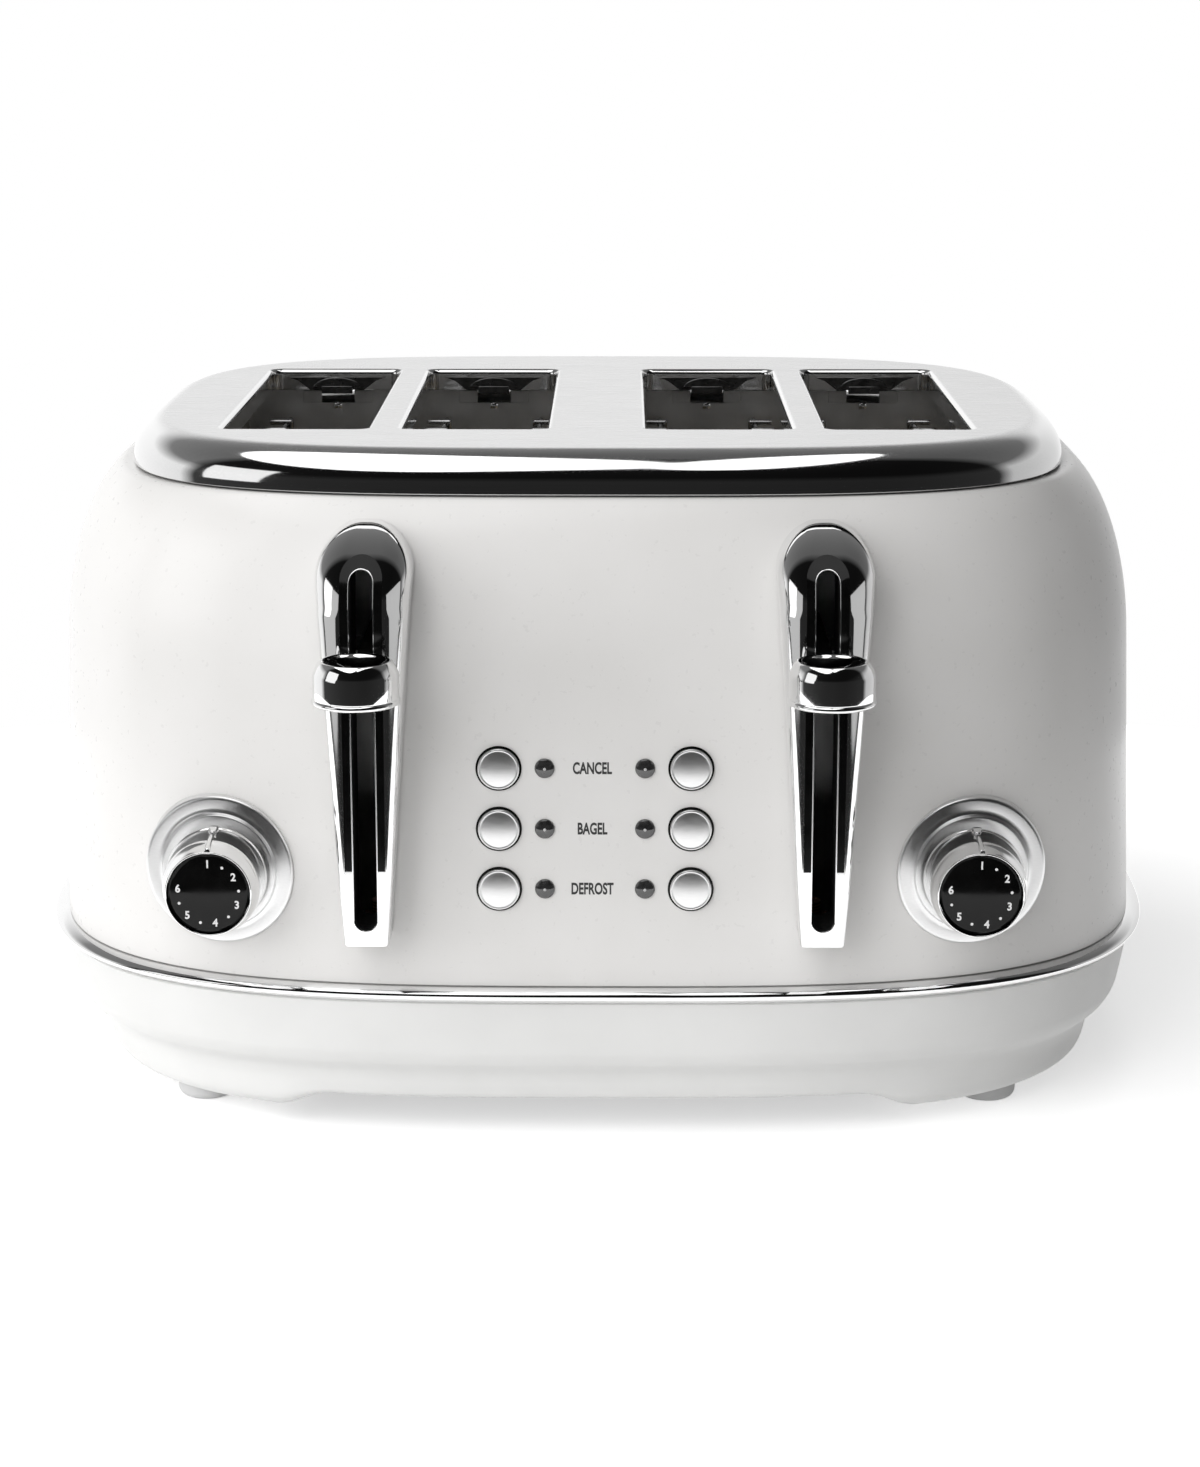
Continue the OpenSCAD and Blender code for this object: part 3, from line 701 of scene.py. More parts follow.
def make_stage():
    """Sets up the studio and returns its two overhead lights."""
    bpy.context.scene.view_settings.view_transform = "Standard"
    make_camera()
    make_world()
    make_floor()
    area_light("key", (-1.38, -1.15, 0.8), (0, 0, 0.1), (2.4, 1.8), 22.5, reflected=False)
    area_light("key_card", (-1.45, -0.75, 0.65), (0, 0, 0.1), (0.9, 1.0), 3)
    area_light("fill", (-0.3, -1.7, 1.2), (0, 0, 0.1), (1.6, 1.2), 14, reflected=False)
    return [area_light("overhead_left", (-0.36, -0.3, 1.2), (0, 0, 0), (0.8, 1.5), 5, spin=8,
                       shape="ELLIPSE"),
            area_light("overhead_right", (0.2, -0.25, 1.2), (0, 0, 0), (0.28, 1.2), 1.4, spin=-10,
                       shape="ELLIPSE")]


def link_lights(lights, pieces, state):
    """Keeps lights off some pieces (EXCLUDE) or gives them to these alone (INCLUDE)."""
    for light in lights:
        chosen = bpy.data.collections.new(f"{state.lower()}_{light.name}")
        for piece in pieces:
            chosen.objects.link(piece)
        light.light_linking.receiver_collection = chosen
        for entry in chosen.collection_objects:
            entry.light_linking.link_state = state


def make_cards():
    """Two pale cards, left and right of the camera, for the housings' chrome."""
    return [area_light(f"card_{side}", (s * 0.88, -0.75, 0.3), (s * LEVER_X * MM, -0.12, 0.12),
                       (1.2, 0.95), 1.9) for side, s in SIDES.items()]


# ---- Outlines ----

def superellipse(a, b, n, z):
    """A level outline with half width a and half depth b, squarer with a larger power n."""
    out = []
    for i in range(FINE):
        t = 2 * pi * i / FINE
        r = ((abs(cos(t)) / a) ** n + (abs(sin(t)) / b) ** n) ** (-1 / n)
        out.append((r * cos(t), r * sin(t), z))
    return out


def shoulder_u(z):
    """How far up the round shoulder a height lies, from 0 to nearly 1."""
    return min(0.98, max(0.0, z - SHOULDER_FROM) / SHOULDER_H)


def pull_in(z):
    """How far the wall lies in from the taper's start."""
    return TAPER * (z - TAPER_FROM) + SHOULDER_IN * (1 - sqrt(1 - shoulder_u(z) ** 2))


def body_slope(z):
    u = shoulder_u(z)
    return TAPER + SHOULDER_IN / SHOULDER_H * u / sqrt(1 - u * u)


def body_size(z):
    """The body's half width, half depth and superellipse power at a height."""
    p = pull_in(z)
    return BODY_W - p, BODY_D - DEPTH_SHARE * p, BODY_ROUND + BODY_ROUND_RISE * (z - TAPER_FROM)


def body_ring(z, inset):
    a, b, n = body_size(z)
    return superellipse(a - inset, b - inset, n, z)


def front_y(x, z):
    """Where the body's front wall is, straight behind a point (x, z)."""
    a, b, n = body_size(z)
    return -b * (1 - (abs(x) / a) ** n) ** (1 / n)


# ---- Shell ----

def make_body_shell():
    """The wall from its foot up to the rolled rim, over the plate's seat and down inside."""
    top = BODY_HIGH - RIM_H
    rings = [body_ring(BODY_LOW, 0.35), body_ring(BODY_LOW + 0.35, 0)]
    rings += [body_ring(55 + (SHOULDER_FROM - 55) * k / 14, 0) for k in range(15)]
    rings += [body_ring(SHOULDER_FROM + (top - SHOULDER_FROM) * sin(k * pi / 60), 0)
              for k in range(1, 30)]
    rings += [body_ring(top + RIM_H / 2 * sin(t), 0.9 * (1 - cos(t)))
              for t in (radians(a) for a in (30, 60, 90))]
    half_w, half_d = body_size(top)[:2]
    rings += [superellipse(half_w - SEAT_W, half_d - SEAT_W, PLATE_ROUND, z)
              for z in (top + 0.3, top - 1.0)]
    for z in (172, 166, 158, 148, 135, 100, 70, BODY_LOW):
        rings.append(body_ring(z, WALL * sqrt(1 + body_slope(z) ** 2)))
    shell = loft("body_shell_visible", rings, looped=True)
    tools = []
    for s in SIDES.values():
        tools.append(upright_slot("t", s * LEVER_X, 8, LEVER_SLOT[0] - 1, LEVER_SLOT[1] + 1,
                                  -140, -105))
        tools.append(pin("t", s * DIAL_X, DIAL_Z, 5, -130, -100))
        for z in BUTTON_ROWS.values():
            for x, r in ((BUTTON_X, BUTTON_R + 0.4), (LENS_X, LENS_R + 0.05)):
                y = front_y(x, z)
                tools.append(pin("t", s * x, z, r, y - 5, y + 8))
    cut(shell, tools)
    smooth(shell, 32)
    return fit(shell, "root", "white_paint", PAINT, "body_shell")


def make_top_plate():
    """The flat top is one plane, its slot edges and outer edge roll down from it."""
    bm = bmesh.new()

    def ring(points):
        return [bm.verts.new(spot(*p)) for p in points]

    def skin(a, b):
        for i in range(len(a)):
            k = (i + 1) % len(a)
            bm.faces.new((a[i], a[k], b[k], b[i]))

    def hoop(loop):
        return [bm.edges.get((loop[i], loop[(i + 1) % len(loop)])) for i in range(len(loop))]

    def deck(outer, slots):
        """A flat sheet between an outer loop and four slot loops."""
        edges = hoop(outer)
        for loop in slots:
            edges += hoop(loop)
        bmesh.ops.triangle_fill(bm, use_beauty=True, use_dissolve=False, edges=edges)

    def plate_ring(z, inset):
        return ring(superellipse(PLATE_W - inset, PLATE_D - inset, PLATE_ROUND, z))

    curve = [radians(a) for a in range(0, 91, 6)]
    low = PLATE_TOP - PLATE_EDGE
    outside = [plate_ring(PLATE_LOW, 0.25), plate_ring(PLATE_LOW + 0.25, 0)]
    outside += [plate_ring(low + PLATE_EDGE * sin(t), PLATE_EDGE * (1 - cos(t)))
                for t in curve]
    inner_r = PLATE_EDGE - PLATE_SHEET
    inside = [plate_ring(PLATE_LOW, PLATE_SHEET)]
    inside += [plate_ring(low + inner_r * sin(t), PLATE_SHEET + inner_r * (1 - cos(t)))
               for t in curve]
    for a, b in zip(outside, outside[1:]):
        skin(a, b)
    for a, b in zip(inside, inside[1:]):
        skin(b, a)
    skin(inside[0], outside[0])
    slots_top, slots_under = [], []
    for x in SLOTS:
        def slot_ring(grow, z):
            return ring([(x + u, v, z) for u, v in
                         rounded_rect(SLOT_W + 2 * grow, SLOT_L + 2 * grow, SLOT_CORNER + grow)])
        rolled = [slot_ring(LIP_R * (1 - sin(t)), PLATE_TOP - LIP_R * (1 - cos(t)))
                  for t in (radians(a) for a in range(0, 91, 10))]
        rolled.append(slot_ring(0, LIP_LOW))
        back = [slot_ring(1.0, LIP_LOW), slot_ring(1.0, PLATE_TOP - LIP_R - 0.3),
                slot_ring(LIP_R, PLATE_TOP - PLATE_SHEET)]
        loops = rolled + back
        for a, b in zip(loops, loops[1:]):
            skin(a, b)
        slots_top.append(rolled[0])
        slots_under.append(back[-1])
    deck(outside[-1], slots_top)
    deck(inside[-1], slots_under)
    bmesh.ops.recalc_face_normals(bm, faces=bm.faces)
    mesh = bpy.data.meshes.new("top_plate_visible")
    bm.to_mesh(mesh)
    bm.free()
    plate = bpy.data.objects.new("top_plate_visible", mesh)
    show(plate)
    smooth(plate, weighted=True)
    fit(plate, "root", "satin_steel", STEEL, "top_plate")


def make_slot_flanges():
    """At each slot's rear end: a pressed flange on the lip, its crown and its hanging tab.
    Below them, cheeks beside the tab and a rivet on the chassis wall."""
    face = SLOT_L / 2 - 0.02
    for number, x in enumerate(SLOTS, 1):
        def plate(name, outline, depth):
            flat = [(x + u, z) for u, z in outline]
            return loft(name, [[(u, face - d, z) for u, z in flat] for d in (depth, 0)])

        flange = plate("flange", [(-15.8, 185.6), (-12.4, 184.4), (-8.6, 181.5), (8.6, 181.5),
                                  (12.4, 184.4), (15.8, 185.6)], 0.5)
        crown = plate("crown", [(u, 182 + 0.46 * v) for u, v in arc(0, 0, 7.6, 4, 176, 20)], 1.0)
        tab = plate("tab", [(-4.9, 182.8), (-4.9, 180.4), (4.9, 180.4), (4.9, 182.8)], 1.5)
        piece = join([flange, crown, tab])
        piece.name = f"slot_flange_{number}"
        soften(piece, 0.25)
        smooth(piece)
        # Satin steel painted nearly black: painted shade, as these sit in the shadow at the slot's
        # rear end
        fit(piece, "root", "satin_steel", SHADE_PAINTED_STEEL)
        for end, s in (("a", -1), ("b", 1)):
            outline = [(x + s * u, z) for u, z in ((5.2, NOTCH_LOW), (11, NOTCH_LOW),
                                                   (11, CHASSIS_TOP), (5.2, CHASSIS_TOP))]
            cheek = loft(f"notch_cheek_{number}_{end}", [
                [(u, CHASSIS_D + d, z) for u, z in outline] for d in (0.02, CHASSIS_SHEET - 0.02)])
            soften(cheek, 0.2)
            smooth(cheek)
            fit(cheek, "root", "zinc_steel", ZINC)
        rivet = lathe(f"wall_rivet_{number}", [(0.01, 0), (1.5, 0), (1.45, 0.35), (1.1, 0.7),
                                               (0.6, 0.9), (0.01, 0.95)],
                      (x, CHASSIS_D, RIVET_Z), "y", 32)
        smooth(rivet)
        fit(rivet, "root", "zinc_steel", CHROME)


def make_trim_ring():
    """A bead lofted round the body, its section given as (height, how far out)."""
    bead = smoothed([(43.0, -1.2), (43.15, 0.6), (43.9, 2.2), (44.8, 3.3), (45.7, 3.6),
                     (46.6, 2.9), (47.2, 1.6), (47.45, 0.5)], 4)
    section = [(43.0, -5.0)] + bead + [(47.5, -5.0)]
    half_w, half_d = BODY_W - 0.03, BODY_D - 0.03
    rings = [superellipse(half_w + 1.1 * out, half_d + 0.9 * out, BODY_ROUND, z)
             for z, out in section]
    ring = loft("trim_ring_visible", rings, looped=True)
    smooth(ring, 50)
    fit(ring, "root", "chrome", CHROME, "trim_ring")


PLINTH_LOW = 5.5
ARCH_HIGH = 10.4
ARCH_BEND_TOP = 16.0
ARCH_FLAT = 73.0  # the arch is level up to here from the middle
ARCH_FALL = 15.0  # and comes down over this width


def plinth_point(x, y, z):
    """Lifts the lower edge into the arch between the legs."""
    if z >= ARCH_BEND_TOP:
        return x, y, z
    low = ARCH_HIGH + (PLINTH_LOW - ARCH_HIGH) * ease((abs(x) - ARCH_FLAT) / ARCH_FALL)
    share = (z - PLINTH_LOW) / (ARCH_BEND_TOP - PLINTH_LOW)
    return x, y, low + share * (ARCH_BEND_TOP - low)


def make_base_plinth():
    """Flared walls, given as (height, inset from the body's outline), with openings behind."""
    outside = smoothed([(5.5, 17.4), (5.9, 16), (6.6, 14.6), (8, 12.6), (10, 11.2), (14, 10.3),
                        (17, 9.6), (20, 8.3), (22, 6.4), (24, 4.2), (27, 2.5), (30, 1.8),
                        (36, 0.7), (42.6, -0.3)], 5)
    outside.append((43, 0.2))
    inside = [(43, 4), (30, 5.2), (26, 6.6), (21, 11.2), (16, 12.9)]
    rings = []
    for z, inset in outside + inside:
        ring = superellipse(BODY_W - inset, BODY_D - inset, PLINTH_ROUND, z)
        rings.append([plinth_point(*p) for p in ring])
    # The foot flange inside, narrow under the arch and wide at the legs
    for z, narrow, wide in ((10, 14.2, 14.2), (8, 17.5, 17.5), (8, 18.5, 38), (5.5, 19, 38)):
        ring = []
        thin = superellipse(BODY_W - narrow, BODY_D - narrow, PLINTH_ROUND, z)
        broad = superellipse(BODY_W - wide, BODY_D - wide, PLINTH_ROUND, z)
        for p, q in zip(thin, broad):
            t = ease((abs(p[0]) - 88) / 6) if abs(p[1]) > 60 else 1.0
            ring.append(plinth_point(*(u + (v - u) * t for u, v in zip(p, q))))
        rings.append(ring)
    plinth = loft("base_plinth_visible", rings, looped=True)
    tools = [pin("t", 0, 34, 5.3, 115, 135)]
    window_l = edge("crumb_tray_right", "x", False) - 0.5
    window_r = edge("crumb_tray_right", "x") + 0.5
    window = rounded_rect(window_r - window_l, 9, 1.2)
    for s in SIDES.values():
        x = s * (window_l + window_r) / 2
        tools.append(loft("t", [[(x + u, y, 17 + v) for u, v in window] for y in (90, 135)]))
    cut(plinth, tools)
    smooth(plinth, 40)
    fit(plinth, "root", "white_plastic", WHITE_PLASTIC, "base_plinth")


def make_feet():
    low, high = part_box("rubber_feet")
    r = 8.4
    profile = [(0.01, 0.5), (r - 4.2, 0.5), (r - 3.9, 0)]
    profile += arc(r - 2.4, 2.4, 2.4, -90, 0, 8)
    profile += [(r, 5.5), (0.01, 5.5)]
    feet = []
    for x in (low.x / MM + r, high.x / MM - r):
        for y in ((low.y - BODY_Y) / MM + r, (high.y - BODY_Y) / MM - r):
            feet.append(lathe("foot", profile, (x, y, 0), steps=64))
    feet = join(feet)
    feet.name = "feet"
    smooth(feet)
    fit(feet, "root", "foot_rubber", FOOT_RUBBER, "rubber_feet")


def make_gland():
    z = middle("cord_gland").z / MM
    profile = [(3.62, -131.2), (4.0, -131.6)]
    profile += arc(6.2, -130.9, 0.7, -90, 0, 5)
    profile += [(6.9, -129.7), (5.2, -129.7), (5.2, -118.4), (4.9, -118), (3.62, -118)]
    gland = lathe("cord_gland_visible", profile, (0, 0, z), "y", 64)
    smooth(gland)
    fit(gland, "root", "grey_plastic", GREY_PLASTIC, "cord_gland")


# ---- Levers ----

def dome_u(z):
    """How far up the leaning front a height lies, from 0 to nearly 1."""
    return max(0.0, z - HOUSING_DOME) / (HOUSING_TOP + 0.25 - HOUSING_DOME)


def housing_y(z):
    return -HOUSING_TOP_FRONT - (HOUSING_FRONT - HOUSING_TOP_FRONT) * sqrt(1 - dome_u(z) ** 2)


def housing_w(z):
    """The half width: it grows with height, then closes as an ellipse."""
    w = HOUSING_W + HOUSING_WIDENS * (min(z, HOUSING_ROUND) - HOUSING_LOW)
    u = max(0, z - HOUSING_ROUND) / (HOUSING_TOP + 0.3 - HOUSING_ROUND)
    return w * sqrt(1 - u ** 2)


def housing_slice(x, z, shrink=0.0):
    """A level outline with round front corners, open against the body's front."""
    w = housing_w(z) - shrink
    f = housing_y(z) + shrink
    r = min(0.62 * w, (front_y(x, z) - f) * 0.8,
            max(w - 5.5, 1.4) + 0.5 * max(0.0, z - HOUSING_DOME))
    points = [(x - w, front_y(x - w, z) - 0.15, z)]
    sides = [(x - w + r * (1 - cos(t)), f + r * (1 - sin(t)), z)
             for t in (radians(a) for a in range(0, 91, 6))]
    points += sides
    points += [(2 * x - px, py, pz) for px, py, pz in reversed(sides)]
    points.append((x + w, front_y(x + w, z) - 0.15, z))
    return points


def make_lever_housing(side, s):
    x = s * LEVER_X
    heights = [HOUSING_LOW + 0.5 + (HOUSING_DOME - HOUSING_LOW - 0.5) * k / 24 for k in range(25)]
    heights += [HOUSING_DOME + (HOUSING_TOP - HOUSING_DOME) * sin(radians(a))
                for a in range(3, 91, 3)]
    rings = [housing_slice(x, HOUSING_LOW, 0.45), housing_slice(x, HOUSING_LOW + 0.15, 0.15)]
    rings += [housing_slice(x, z) for z in heights]
    housing = loft(f"lever_housing_{side}_visible", rings)
    tool = upright_slot("t", x, LEVER_SLOT_W, *LEVER_SLOT, -150, -105)
    # The slot's cut walls are soft black: painted shade for the dark inside of the hollow housing
    cut(housing, [tool], (CHROME, SOFT_BLACK))
    smooth(housing, 35)
    return fit(housing, "root", "chrome", CHROME, f"lever_housing_{side}")


def slot_outline(w, low, high, steps):
    """Points (x, z) round an upright slot, with even steps down its long sides."""
    r = w / 2
    out = arc(0, high - r, r, 0, 180, 16)
    out += [(-r, high - r + (low + r - high + r) * k / steps) for k in range(1, steps)]
    out += arc(0, low + r, r, 180, 360, 16)
    out += [(r, low + r + (high - r - low - r) * k / steps) for k in range(1, steps)]
    return out


def over_the_top(outline, low):
    """The part of a closed outline above low, from its right end over the top."""
    lowest = outline.index(min(outline, key=lambda point: point[1]))
    turned = outline[lowest:] + outline[:lowest]
    return [point for point in turned if point[1] >= low]


def band_outside(u, z):
    """The point on the black band's outer edge beside (u, z) on its inner edge."""
    centre = LEVER_SLOT[1] - LEVER_SLOT_W / 2
    if z >= centre:
        d = hypot(u, z - centre)
        return u / d * BAND_R, centre + (z - centre) / d * BAND_R + BAND_LIFT
    share = (centre - z) / (centre - BAND_LOW)
    return copysign(BAND_R - BAND_NARROWS * share, u), z


def make_slot_liner(side, s, first):
    """The black gloss band round a lever slot and its thin bright rim."""
    x = s * LEVER_X
    inner = over_the_top(slot_outline(LEVER_SLOT_W + 2 * BAND_GAP, LEVER_SLOT[0] - BAND_GAP,
                                      LEVER_SLOT[1] + BAND_GAP, SLOT_STEPS), BAND_LOW)
    rings = []
    for near in inner:
        far = band_outside(*near)
        corners = ((near, 0), (near, BAND_SHEET), (far, BAND_SHEET), (far, 0))
        rings.append([(x + u, housing_y(z) - out, z) for (u, z), out in corners])
    liner = loft(f"slot_liner_{side}", rings)
    smooth(liner)
    fit(liner, "root", "black_gloss", GLOSS_BLACK, *(["slot_liners"] if first else []))
    make_slot_rim(side, x)


def make_slot_rim(side, x):
    """A thin wire of eight sided section that follows the slot's edge."""
    path = slot_outline(LEVER_SLOT_W + 0.35, LEVER_SLOT[0] - 0.18, LEVER_SLOT[1] + 0.18,
                        SLOT_STEPS)
    strands = []
    for t in (radians(a) for a in range(0, 360, 45)):
        grow = RIM_WIRE_R * cos(t)
        lift = 0.2 + RIM_WIRE_R * sin(t)
        strand = []
        for k, (u, z) in enumerate(path):
            before, after = path[k - 1], path[(k + 1) % len(path)]
            du, dz = after[0] - before[0], after[1] - before[1]
            d = hypot(du, dz)
            side_z = z - grow * du / d
            strand.append((x + u + grow * dz / d, housing_y(side_z) - lift, side_z))
        strands.append(strand)
    rim = loft(f"slot_rim_{side}", strands, looped=True)
    smooth(rim, 60)
    fit(rim, "root", "chrome", CHROME)


def make_lever_knob(side, s):
    """A drum with a bead round its foot, a rounded shoulder and a dished top."""
    r = KNOB_R
    low = edge(f"lever_knob_{side}", "z", False) - LEVER_Z
    profile = [(0.01, low), (r - 1.5, low)]
    profile += arc(r - 0.75, low + 0.75, 0.75, -90, 60, 8)
    profile += [(r - 0.5, low + 1.5), (r - 0.42, low + 1.62), (r - 0.4, low + 1.8),
                (r - 0.38, low + 4), (r - 0.4, low + 7.2)]
    profile += smoothed([(r - 0.42, 3.0), (r - 0.6, 3.8), (r - 1.3, 5.4), (r - 2.0, 6.4),
                         (r - 2.6, 6.75), (r - 3.2, 6.55), (r - 4.2, 5.9), (r - 6.5, 4.9),
                         (r - 9, 4.35), (0.01, 4.2)], 6)
    knob = lathe(f"lever_knob_{side}_visible", profile, (s * KNOB_X, KNOB_Y, LEVER_Z), steps=128)
    smooth(knob, 50)
    fit(knob, f"lever_{side}", "chrome", CHROME, f"lever_knob_{side}")


# ---- Dials ----

def flange_point(s, r, a, y):
    """A point at radius r and angle a on the leaning disc, y at its middle."""
    x = s * DIAL_X + r * cos(a)
    return x, y + s * r * cos(a) * tan(FLANGE_TILT), DIAL_Z + r * sin(a)


def make_dial_flange(side, s):
    """A leaning disc with a raised inner step, its back seated on the body."""
    steps = 128
    angles = [2 * pi * k / steps for k in range(steps)]

    def seat(r):
        return [(x, front_y(x, z) - 0.2, z) for x, z in
                ((s * DIAL_X + r * cos(a), DIAL_Z + r * sin(a)) for a in angles)]

    def ring(r, y):
        return [flange_point(s, r, a, y) for a in angles]

    face = [(FLANGE_R, FLANGE_FRONT + 1.0)]
    face += [(FLANGE_R - 1.0 + u, FLANGE_FRONT + 1.0 - v) for u, v in arc(0, 0, 1.0, 10, 90, 6)]
    face += [(STEP_R + 1.6, FLANGE_FRONT + 0.12), (STEP_R + 0.9, FLANGE_FRONT + 0.15),
             (STEP_R + 0.35, FLANGE_FRONT - 0.05)]
    face += [(STEP_R - 0.5 + u, STEP_FRONT + 0.5 - v) for u, v in arc(0, 0, 0.5, 0, 90, 5)]
    face += [(STEP_R - 2.0, STEP_FRONT + 0.2), (8, STEP_FRONT + 0.2)]
    rings = [seat(FLANGE_R)] + [ring(r, y) for r, y in face] + [seat(8)]
    flange = loft(f"dial_flange_{side}_visible", rings, looped=True)
    smooth(flange, 40)
    fit(flange, "root", "satin_chrome", SATIN_CHROME, f"dial_flange_{side}")


def make_dial_knob(side, s):
    """The turning ring: foot bead, skirt, steep shoulder and a thin rim round the face."""
    r = DIAL_KNOB_R
    profile = [(2.05, -22), (3.5, -22), (3.5, 0), (r - 0.9, 0)]
    profile += arc(r - 0.8, 0.9, 0.8, -90, 45, 8)
    profile += [(r - 0.42, 1.75), (r - 0.45, 2.0), (r - 0.5, 2.4), (r - 0.6, 11.6)]
    profile += smoothed([(r - 0.62, 12.0), (r - 0.75, 12.8), (r - 1.3, 14.2),
                         (DIAL_FACE_R + 0.8, 16.4), (DIAL_FACE_R + 0.55, 17.3)], 5)
    profile += arc(DIAL_FACE_R + 0.3, DIAL_KNOB_L - 0.25, 0.22, 0, 180, 6)
    profile += [(DIAL_FACE_R + 0.08, 15.8), (2.05, 15.8)]
    centre = (s * DIAL_X, -DIAL_BACK, DIAL_Z)
    knob = lathe(f"dial_knob_{side}_visible", profile, centre, "y", 128)
    smooth(knob, 45)
    fit(knob, f"dial_{side}", "chrome", CHROME, f"dial_knob_{side}")
    make_pointer(side, s)


def make_pointer(side, s):
    """A ridge along the dial's skirt, with a small raised wedge at its root."""
    top = DIAL_Z + DIAL_FACE_R
    section = [(-0.85, 0), (-0.7, 0.95), (-0.35, 1.3), (0.35, 1.3), (0.7, 0.95), (0.85, 0)]
    path = [(1.2, 1.55), (6.0, 1.45), (11.0, 1.2), (15.0, 0.55), (17.6, 0.2), (18.05, -0.1)]
    rings = [[(s * DIAL_X + u, -DIAL_BACK - h, top + lift + v) for u, v in section]
             for h, lift in path]
    ridge = loft(f"dial_pointer_{side}", rings)
    wedge = loft("wedge", [
        [(s * DIAL_X + u, -DIAL_BACK - h, top + 1.2 + v) for u, v in
         ((-w, 0), (-w * 0.7, t), (w * 0.7, t), (w, 0))]
        for h, w, t in ((1.2, 1.3, 1.9), (4.2, 1.6, 2.6), (6.4, 0.8, 1.7))])
    ridge = join([ridge, wedge])
    soften(ridge, 0.18)
    smooth(ridge)
    fit(ridge, f"dial_{side}", "chrome", CHROME)


def make_text(name, words, size, squeeze, place, turn, body, slot, material, relief=0.03):
    """Raised generic lettering, as a mesh. place is its middle."""
    curve = bpy.data.curves.new(name, "FONT")
    curve.body = words
    curve.size = size * MM
    curve.align_x = curve.align_y = "CENTER"
    curve.extrude = relief * MM
    curve.offset = 0.03 * size * MM
    curve.resolution_u = 4
    obj = bpy.data.objects.new(name, curve)
    obj.matrix_world = Matrix.Translation(place) @ turn @ Matrix.Diagonal((squeeze, 1, 1, 1))
    show(obj)
    bpy.context.view_layer.update()
    mesh = bpy.data.meshes.new_from_object(obj.evaluated_get(
        bpy.context.evaluated_depsgraph_get()))
    mesh.transform(obj.matrix_world)
    bpy.data.objects.remove(obj)
    made = bpy.data.objects.new(name, mesh)
    show(made)
    return fit(made, body, slot, material)


UPRIGHT = Matrix.Rotation(radians(90), 4, "X")


def make_dial_face(side, s):
    """The fixed number face on its spindle."""
    front = DIAL_KNOB_L - 0.2
    r = DIAL_FACE_R
    profile = [(0.01, -26), (2, -26), (2, 16.1), (r, 16.1), (r, front - 0.9)]
    profile += [(r - 0.15, front - 0.6), (r - 1.0, front - 0.12), (r - 1.3, front), (0.01, front)]
    centre = (s * DIAL_X, -DIAL_BACK, DIAL_Z)
    face = lathe(f"dial_face_{side}_visible", profile, centre, "y", 128)
    smooth(face)
    fit(face, "root", "black_gloss", GLOSS_BLACK, f"dial_face_{side}")
    y = -DIAL_BACK - front

    def on_face(degrees):
        a = radians(degrees)
        return s * DIAL_X + NUMBERS_R * sin(a), DIAL_Z + NUMBERS_R * cos(a)

    for number in range(1, 7):
        turn = NUMBER_PITCH * (number - 1)
        x, z = on_face(turn)
        make_text(f"dial_number_{side}_{number}", str(number), 2.9, 0.92, spot(x, y, z), UPRIGHT,
                  "root", "black_gloss", DIAL_INK, 0.02)
        if number < 6:
            x, z = on_face(turn + NUMBER_PITCH / 2)
            dot = pin(f"dial_dot_{side}_{number}", x, z, 0.38, y - 0.02, y + 0.02, 24)
            fit(dot, "root", "black_gloss", DIAL_INK)


# ---- Buttons ----

def on_front(x):
    """For each button row on each side: its names and its place on the front wall."""
    for side, s in SIDES.items():
        for name, z in BUTTON_ROWS.items():
            yield side, name, (s * x, front_y(s * x, z), z)


def make_button(side, name, place):
    """A domed cap with a bright rim, its retaining flange and its stem."""
    r = BUTTON_R
    dome_r = r - 0.7
    profile = [(0.01, -6), (r, -6), (r, 1.0)]
    profile += arc(r - 0.4, 1.1, 0.4, 0, 90, 6)
    profile += [(r - 0.62, 1.42)]
    profile += [(u, 1.42 + 0.42 * (1 - (u / dome_r) ** 2)) for u in
                (dome_r * (1 - k / 14) for k in range(14))]
    profile += [(0.01, 1.84)]
    cap = lathe(f"button_{name}_{side}_visible", profile, place, "y", 96)
    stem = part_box(f"button_{name}_{side}")[1].y - BODY_Y
    stem_end = -(stem / MM - place[1])
    back = lathe("stem", [(0.01, stem_end), (2, stem_end), (2, -6.4), (r + 1.2, -6.4),
                          (r + 1.2, -5.4), (0.01, -5.4)], place, "y", 48)
    cap = join([cap, back])
    smooth(cap, 40)
    fit(cap, f"button_{name}_{side}", "satin_chrome", SATIN_CHROME, f"button_{name}_{side}")


def make_buttons():
    r = BUTTON_R + 0.1
    section = [(r, -5), (r + 0.27, -5), (r + 0.27, 0.1)]
    section += arc(r + 0.27, 0.22, 0.22, 0, 90, 4)
    section += [(r + 0.1, 0.42), (r, 0.3)]
    bezels = []
    for side, name, place in on_front(BUTTON_X):
        make_button(side, name, place)
        bezels.append(lathe("bezel", section, place, "y", 96))
    bezels = join(bezels)
    bezels.name = "button_bezels_visible"
    smooth(bezels)
    fit(bezels, "root", "black_gloss", GLOSS_BLACK, "button_bezels")


def make_lenses():
    """Low domes, each with a pale grey dot at its top: a painted highlight."""
    profile = [(0.01, -5), (LENS_R, -5), (LENS_R, 0.15)]
    profile += [(LENS_R * cos(t), 0.2 + 0.95 * sin(t)) for t in
                (radians(a) for a in range(6, 89, 6))]
    profile += [(0.01, 1.15)]
    glint_profile = [(0.01, 0.9), (0.42, 1.0), (0.38, 1.2), (0.2, 1.28), (0.01, 1.3)]
    lenses = []
    for side, name, place in on_front(LENS_X):
        lenses.append(lathe("lens", profile, place, "y", 64))
        dot = lathe(f"lens_dot_{name}_{side}", glint_profile, place, "y", 24)
        smooth(dot)
        fit(dot, "root", "lens", PAINTED_LENS_GLINT)
    lenses = join(lenses)
    lenses.name = "indicator_lenses_visible"
    smooth(lenses)
    fit(lenses, "root", "lens", LENS, "indicator_lenses")


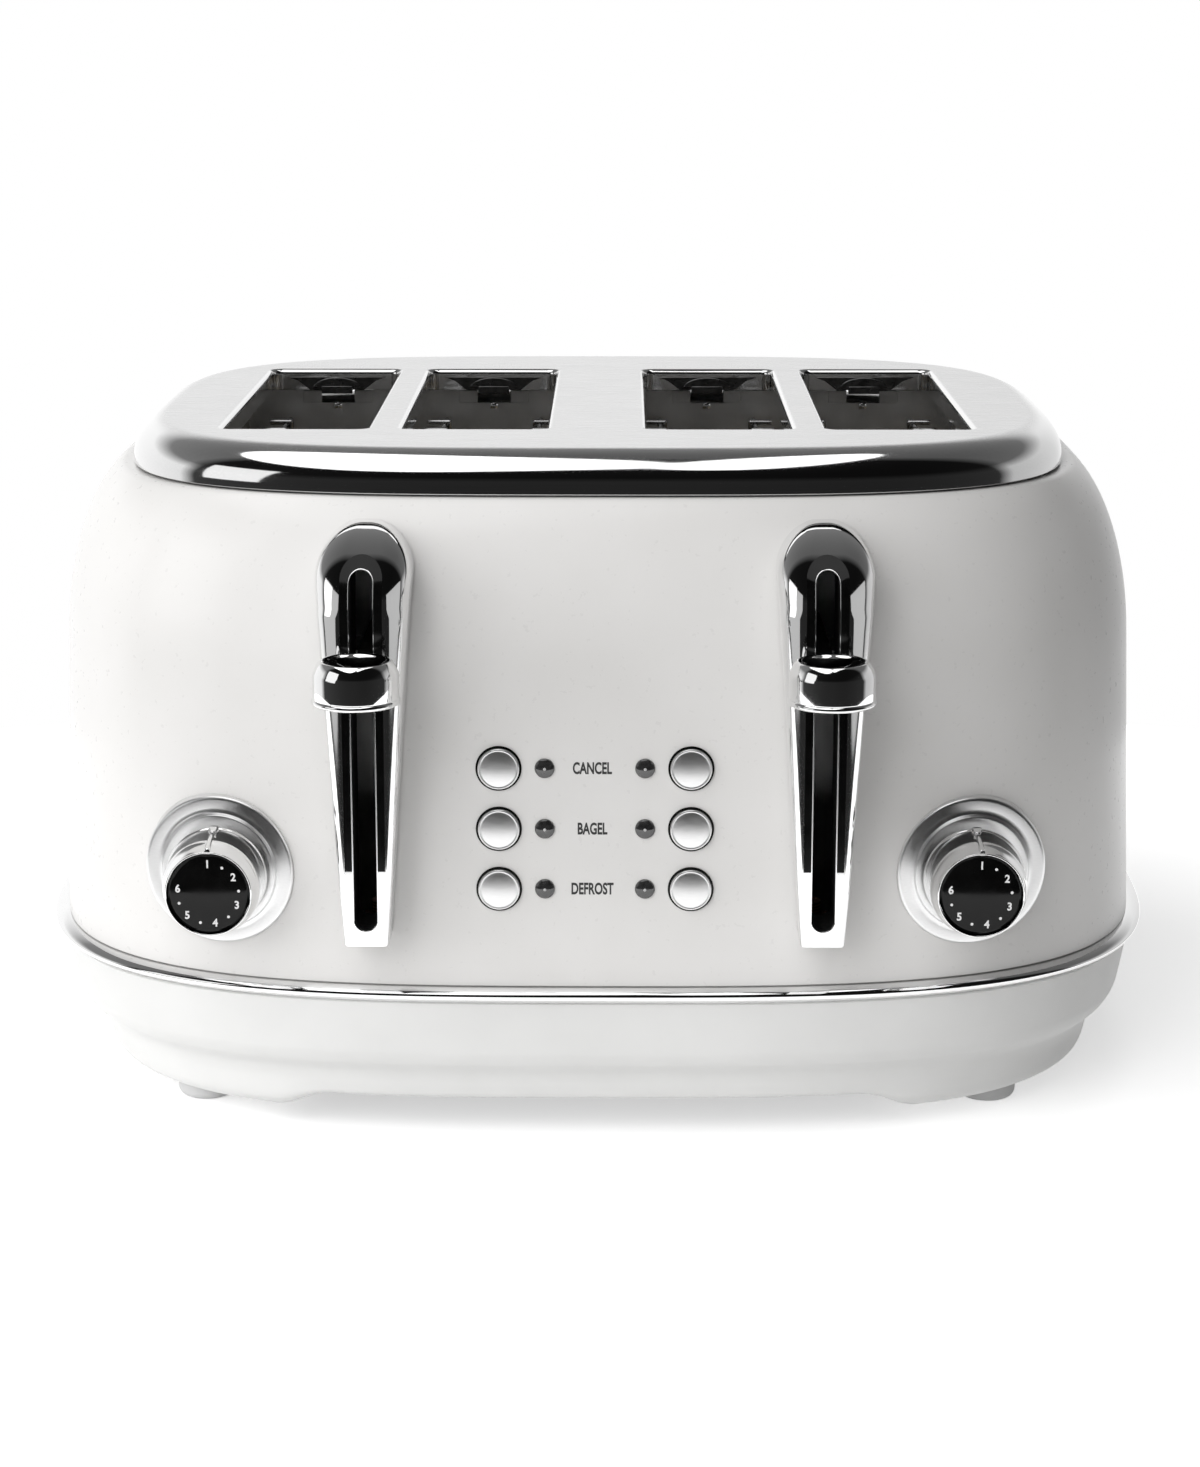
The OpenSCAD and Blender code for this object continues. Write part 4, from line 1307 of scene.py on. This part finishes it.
def make_labels():
    for name, z in BUTTON_ROWS.items():
        y = front_y(0, z)
        turn = Matrix.Rotation(radians(90 - degrees(atan(TAPER * DEPTH_SHARE))),
                               4, "X")
        make_text(f"label_{name}", name.upper(), 4.3, 0.62, spot(-0.7, y - 0.02, z - 0.1), turn,
                  "root", "black_gloss", LABEL_INK)


# ---- Carried-over CAD nodes ----

def finish_nodes():
    """Materials and softened edges for the CAD nodes that stay visible."""
    looks = {
        "bottom_cover": (GREY_PLASTIC, 0.4), "cover_screws": (ZINC, 0.15),
        "guide_rods": (CHROME, 0.3), "electromagnets": (COPPER, 0.3),
        "chassis_front": (ZINC, 0.3), "chassis_rear": (ZINC, 0.3), "chassis_sides": (ZINC, 0.3),
        "heater_cards": (MICA, 0.1), "heating_ribbons": (RIBBON, 0.08),
        "rotary_controls": (GREY_PLASTIC, 0.4), "control_board": (BOARD, 0.1),
    }
    for side in SIDES:
        looks[f"lever_arm_{side}"] = (SOFT_BLACK, 0.5)
        looks[f"carriage_{side}"] = (ZINC, 0.4)
        looks[f"latch_plate_{side}"] = (ZINC, 0.2)
        looks[f"return_spring_{side}"] = (WIRE, 0)
        looks[f"crumb_tray_{side}"] = (TRAY_METAL, 0.25)
    for number in (1, 2, 3, 4):
        looks[f"bread_rack_{number}"] = (WIRE, 0.25)
        for end in "ab":
            looks[f"bread_guide_{number}{end}"] = (WIRE, 0)
    for name, (material, width) in looks.items():
        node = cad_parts[name]
        node.data.materials.clear()
        node.data.materials.append(material)
        if width:
            soften(node, width)
        smooth(node, 40)


OVERHEAD = make_stage()
body = make_body_shell()
make_top_plate()
make_slot_flanges()
make_trim_ring()
make_base_plinth()
make_feet()
make_gland()
housings = [make_lever_housing(name, sign) for name, sign in SIDES.items()]
link_lights(OVERHEAD[:1], housings, "EXCLUDE")
link_lights(OVERHEAD[1:], housings + [body], "EXCLUDE")
link_lights(make_cards(), housings, "INCLUDE")
for side_name, side_sign in SIDES.items():
    make_slot_liner(side_name, side_sign, side_sign < 0)
    make_lever_knob(side_name, side_sign)
    make_dial_flange(side_name, side_sign)
    make_dial_knob(side_name, side_sign)
    make_dial_face(side_name, side_sign)
make_buttons()
make_lenses()
make_labels()
finish_nodes()
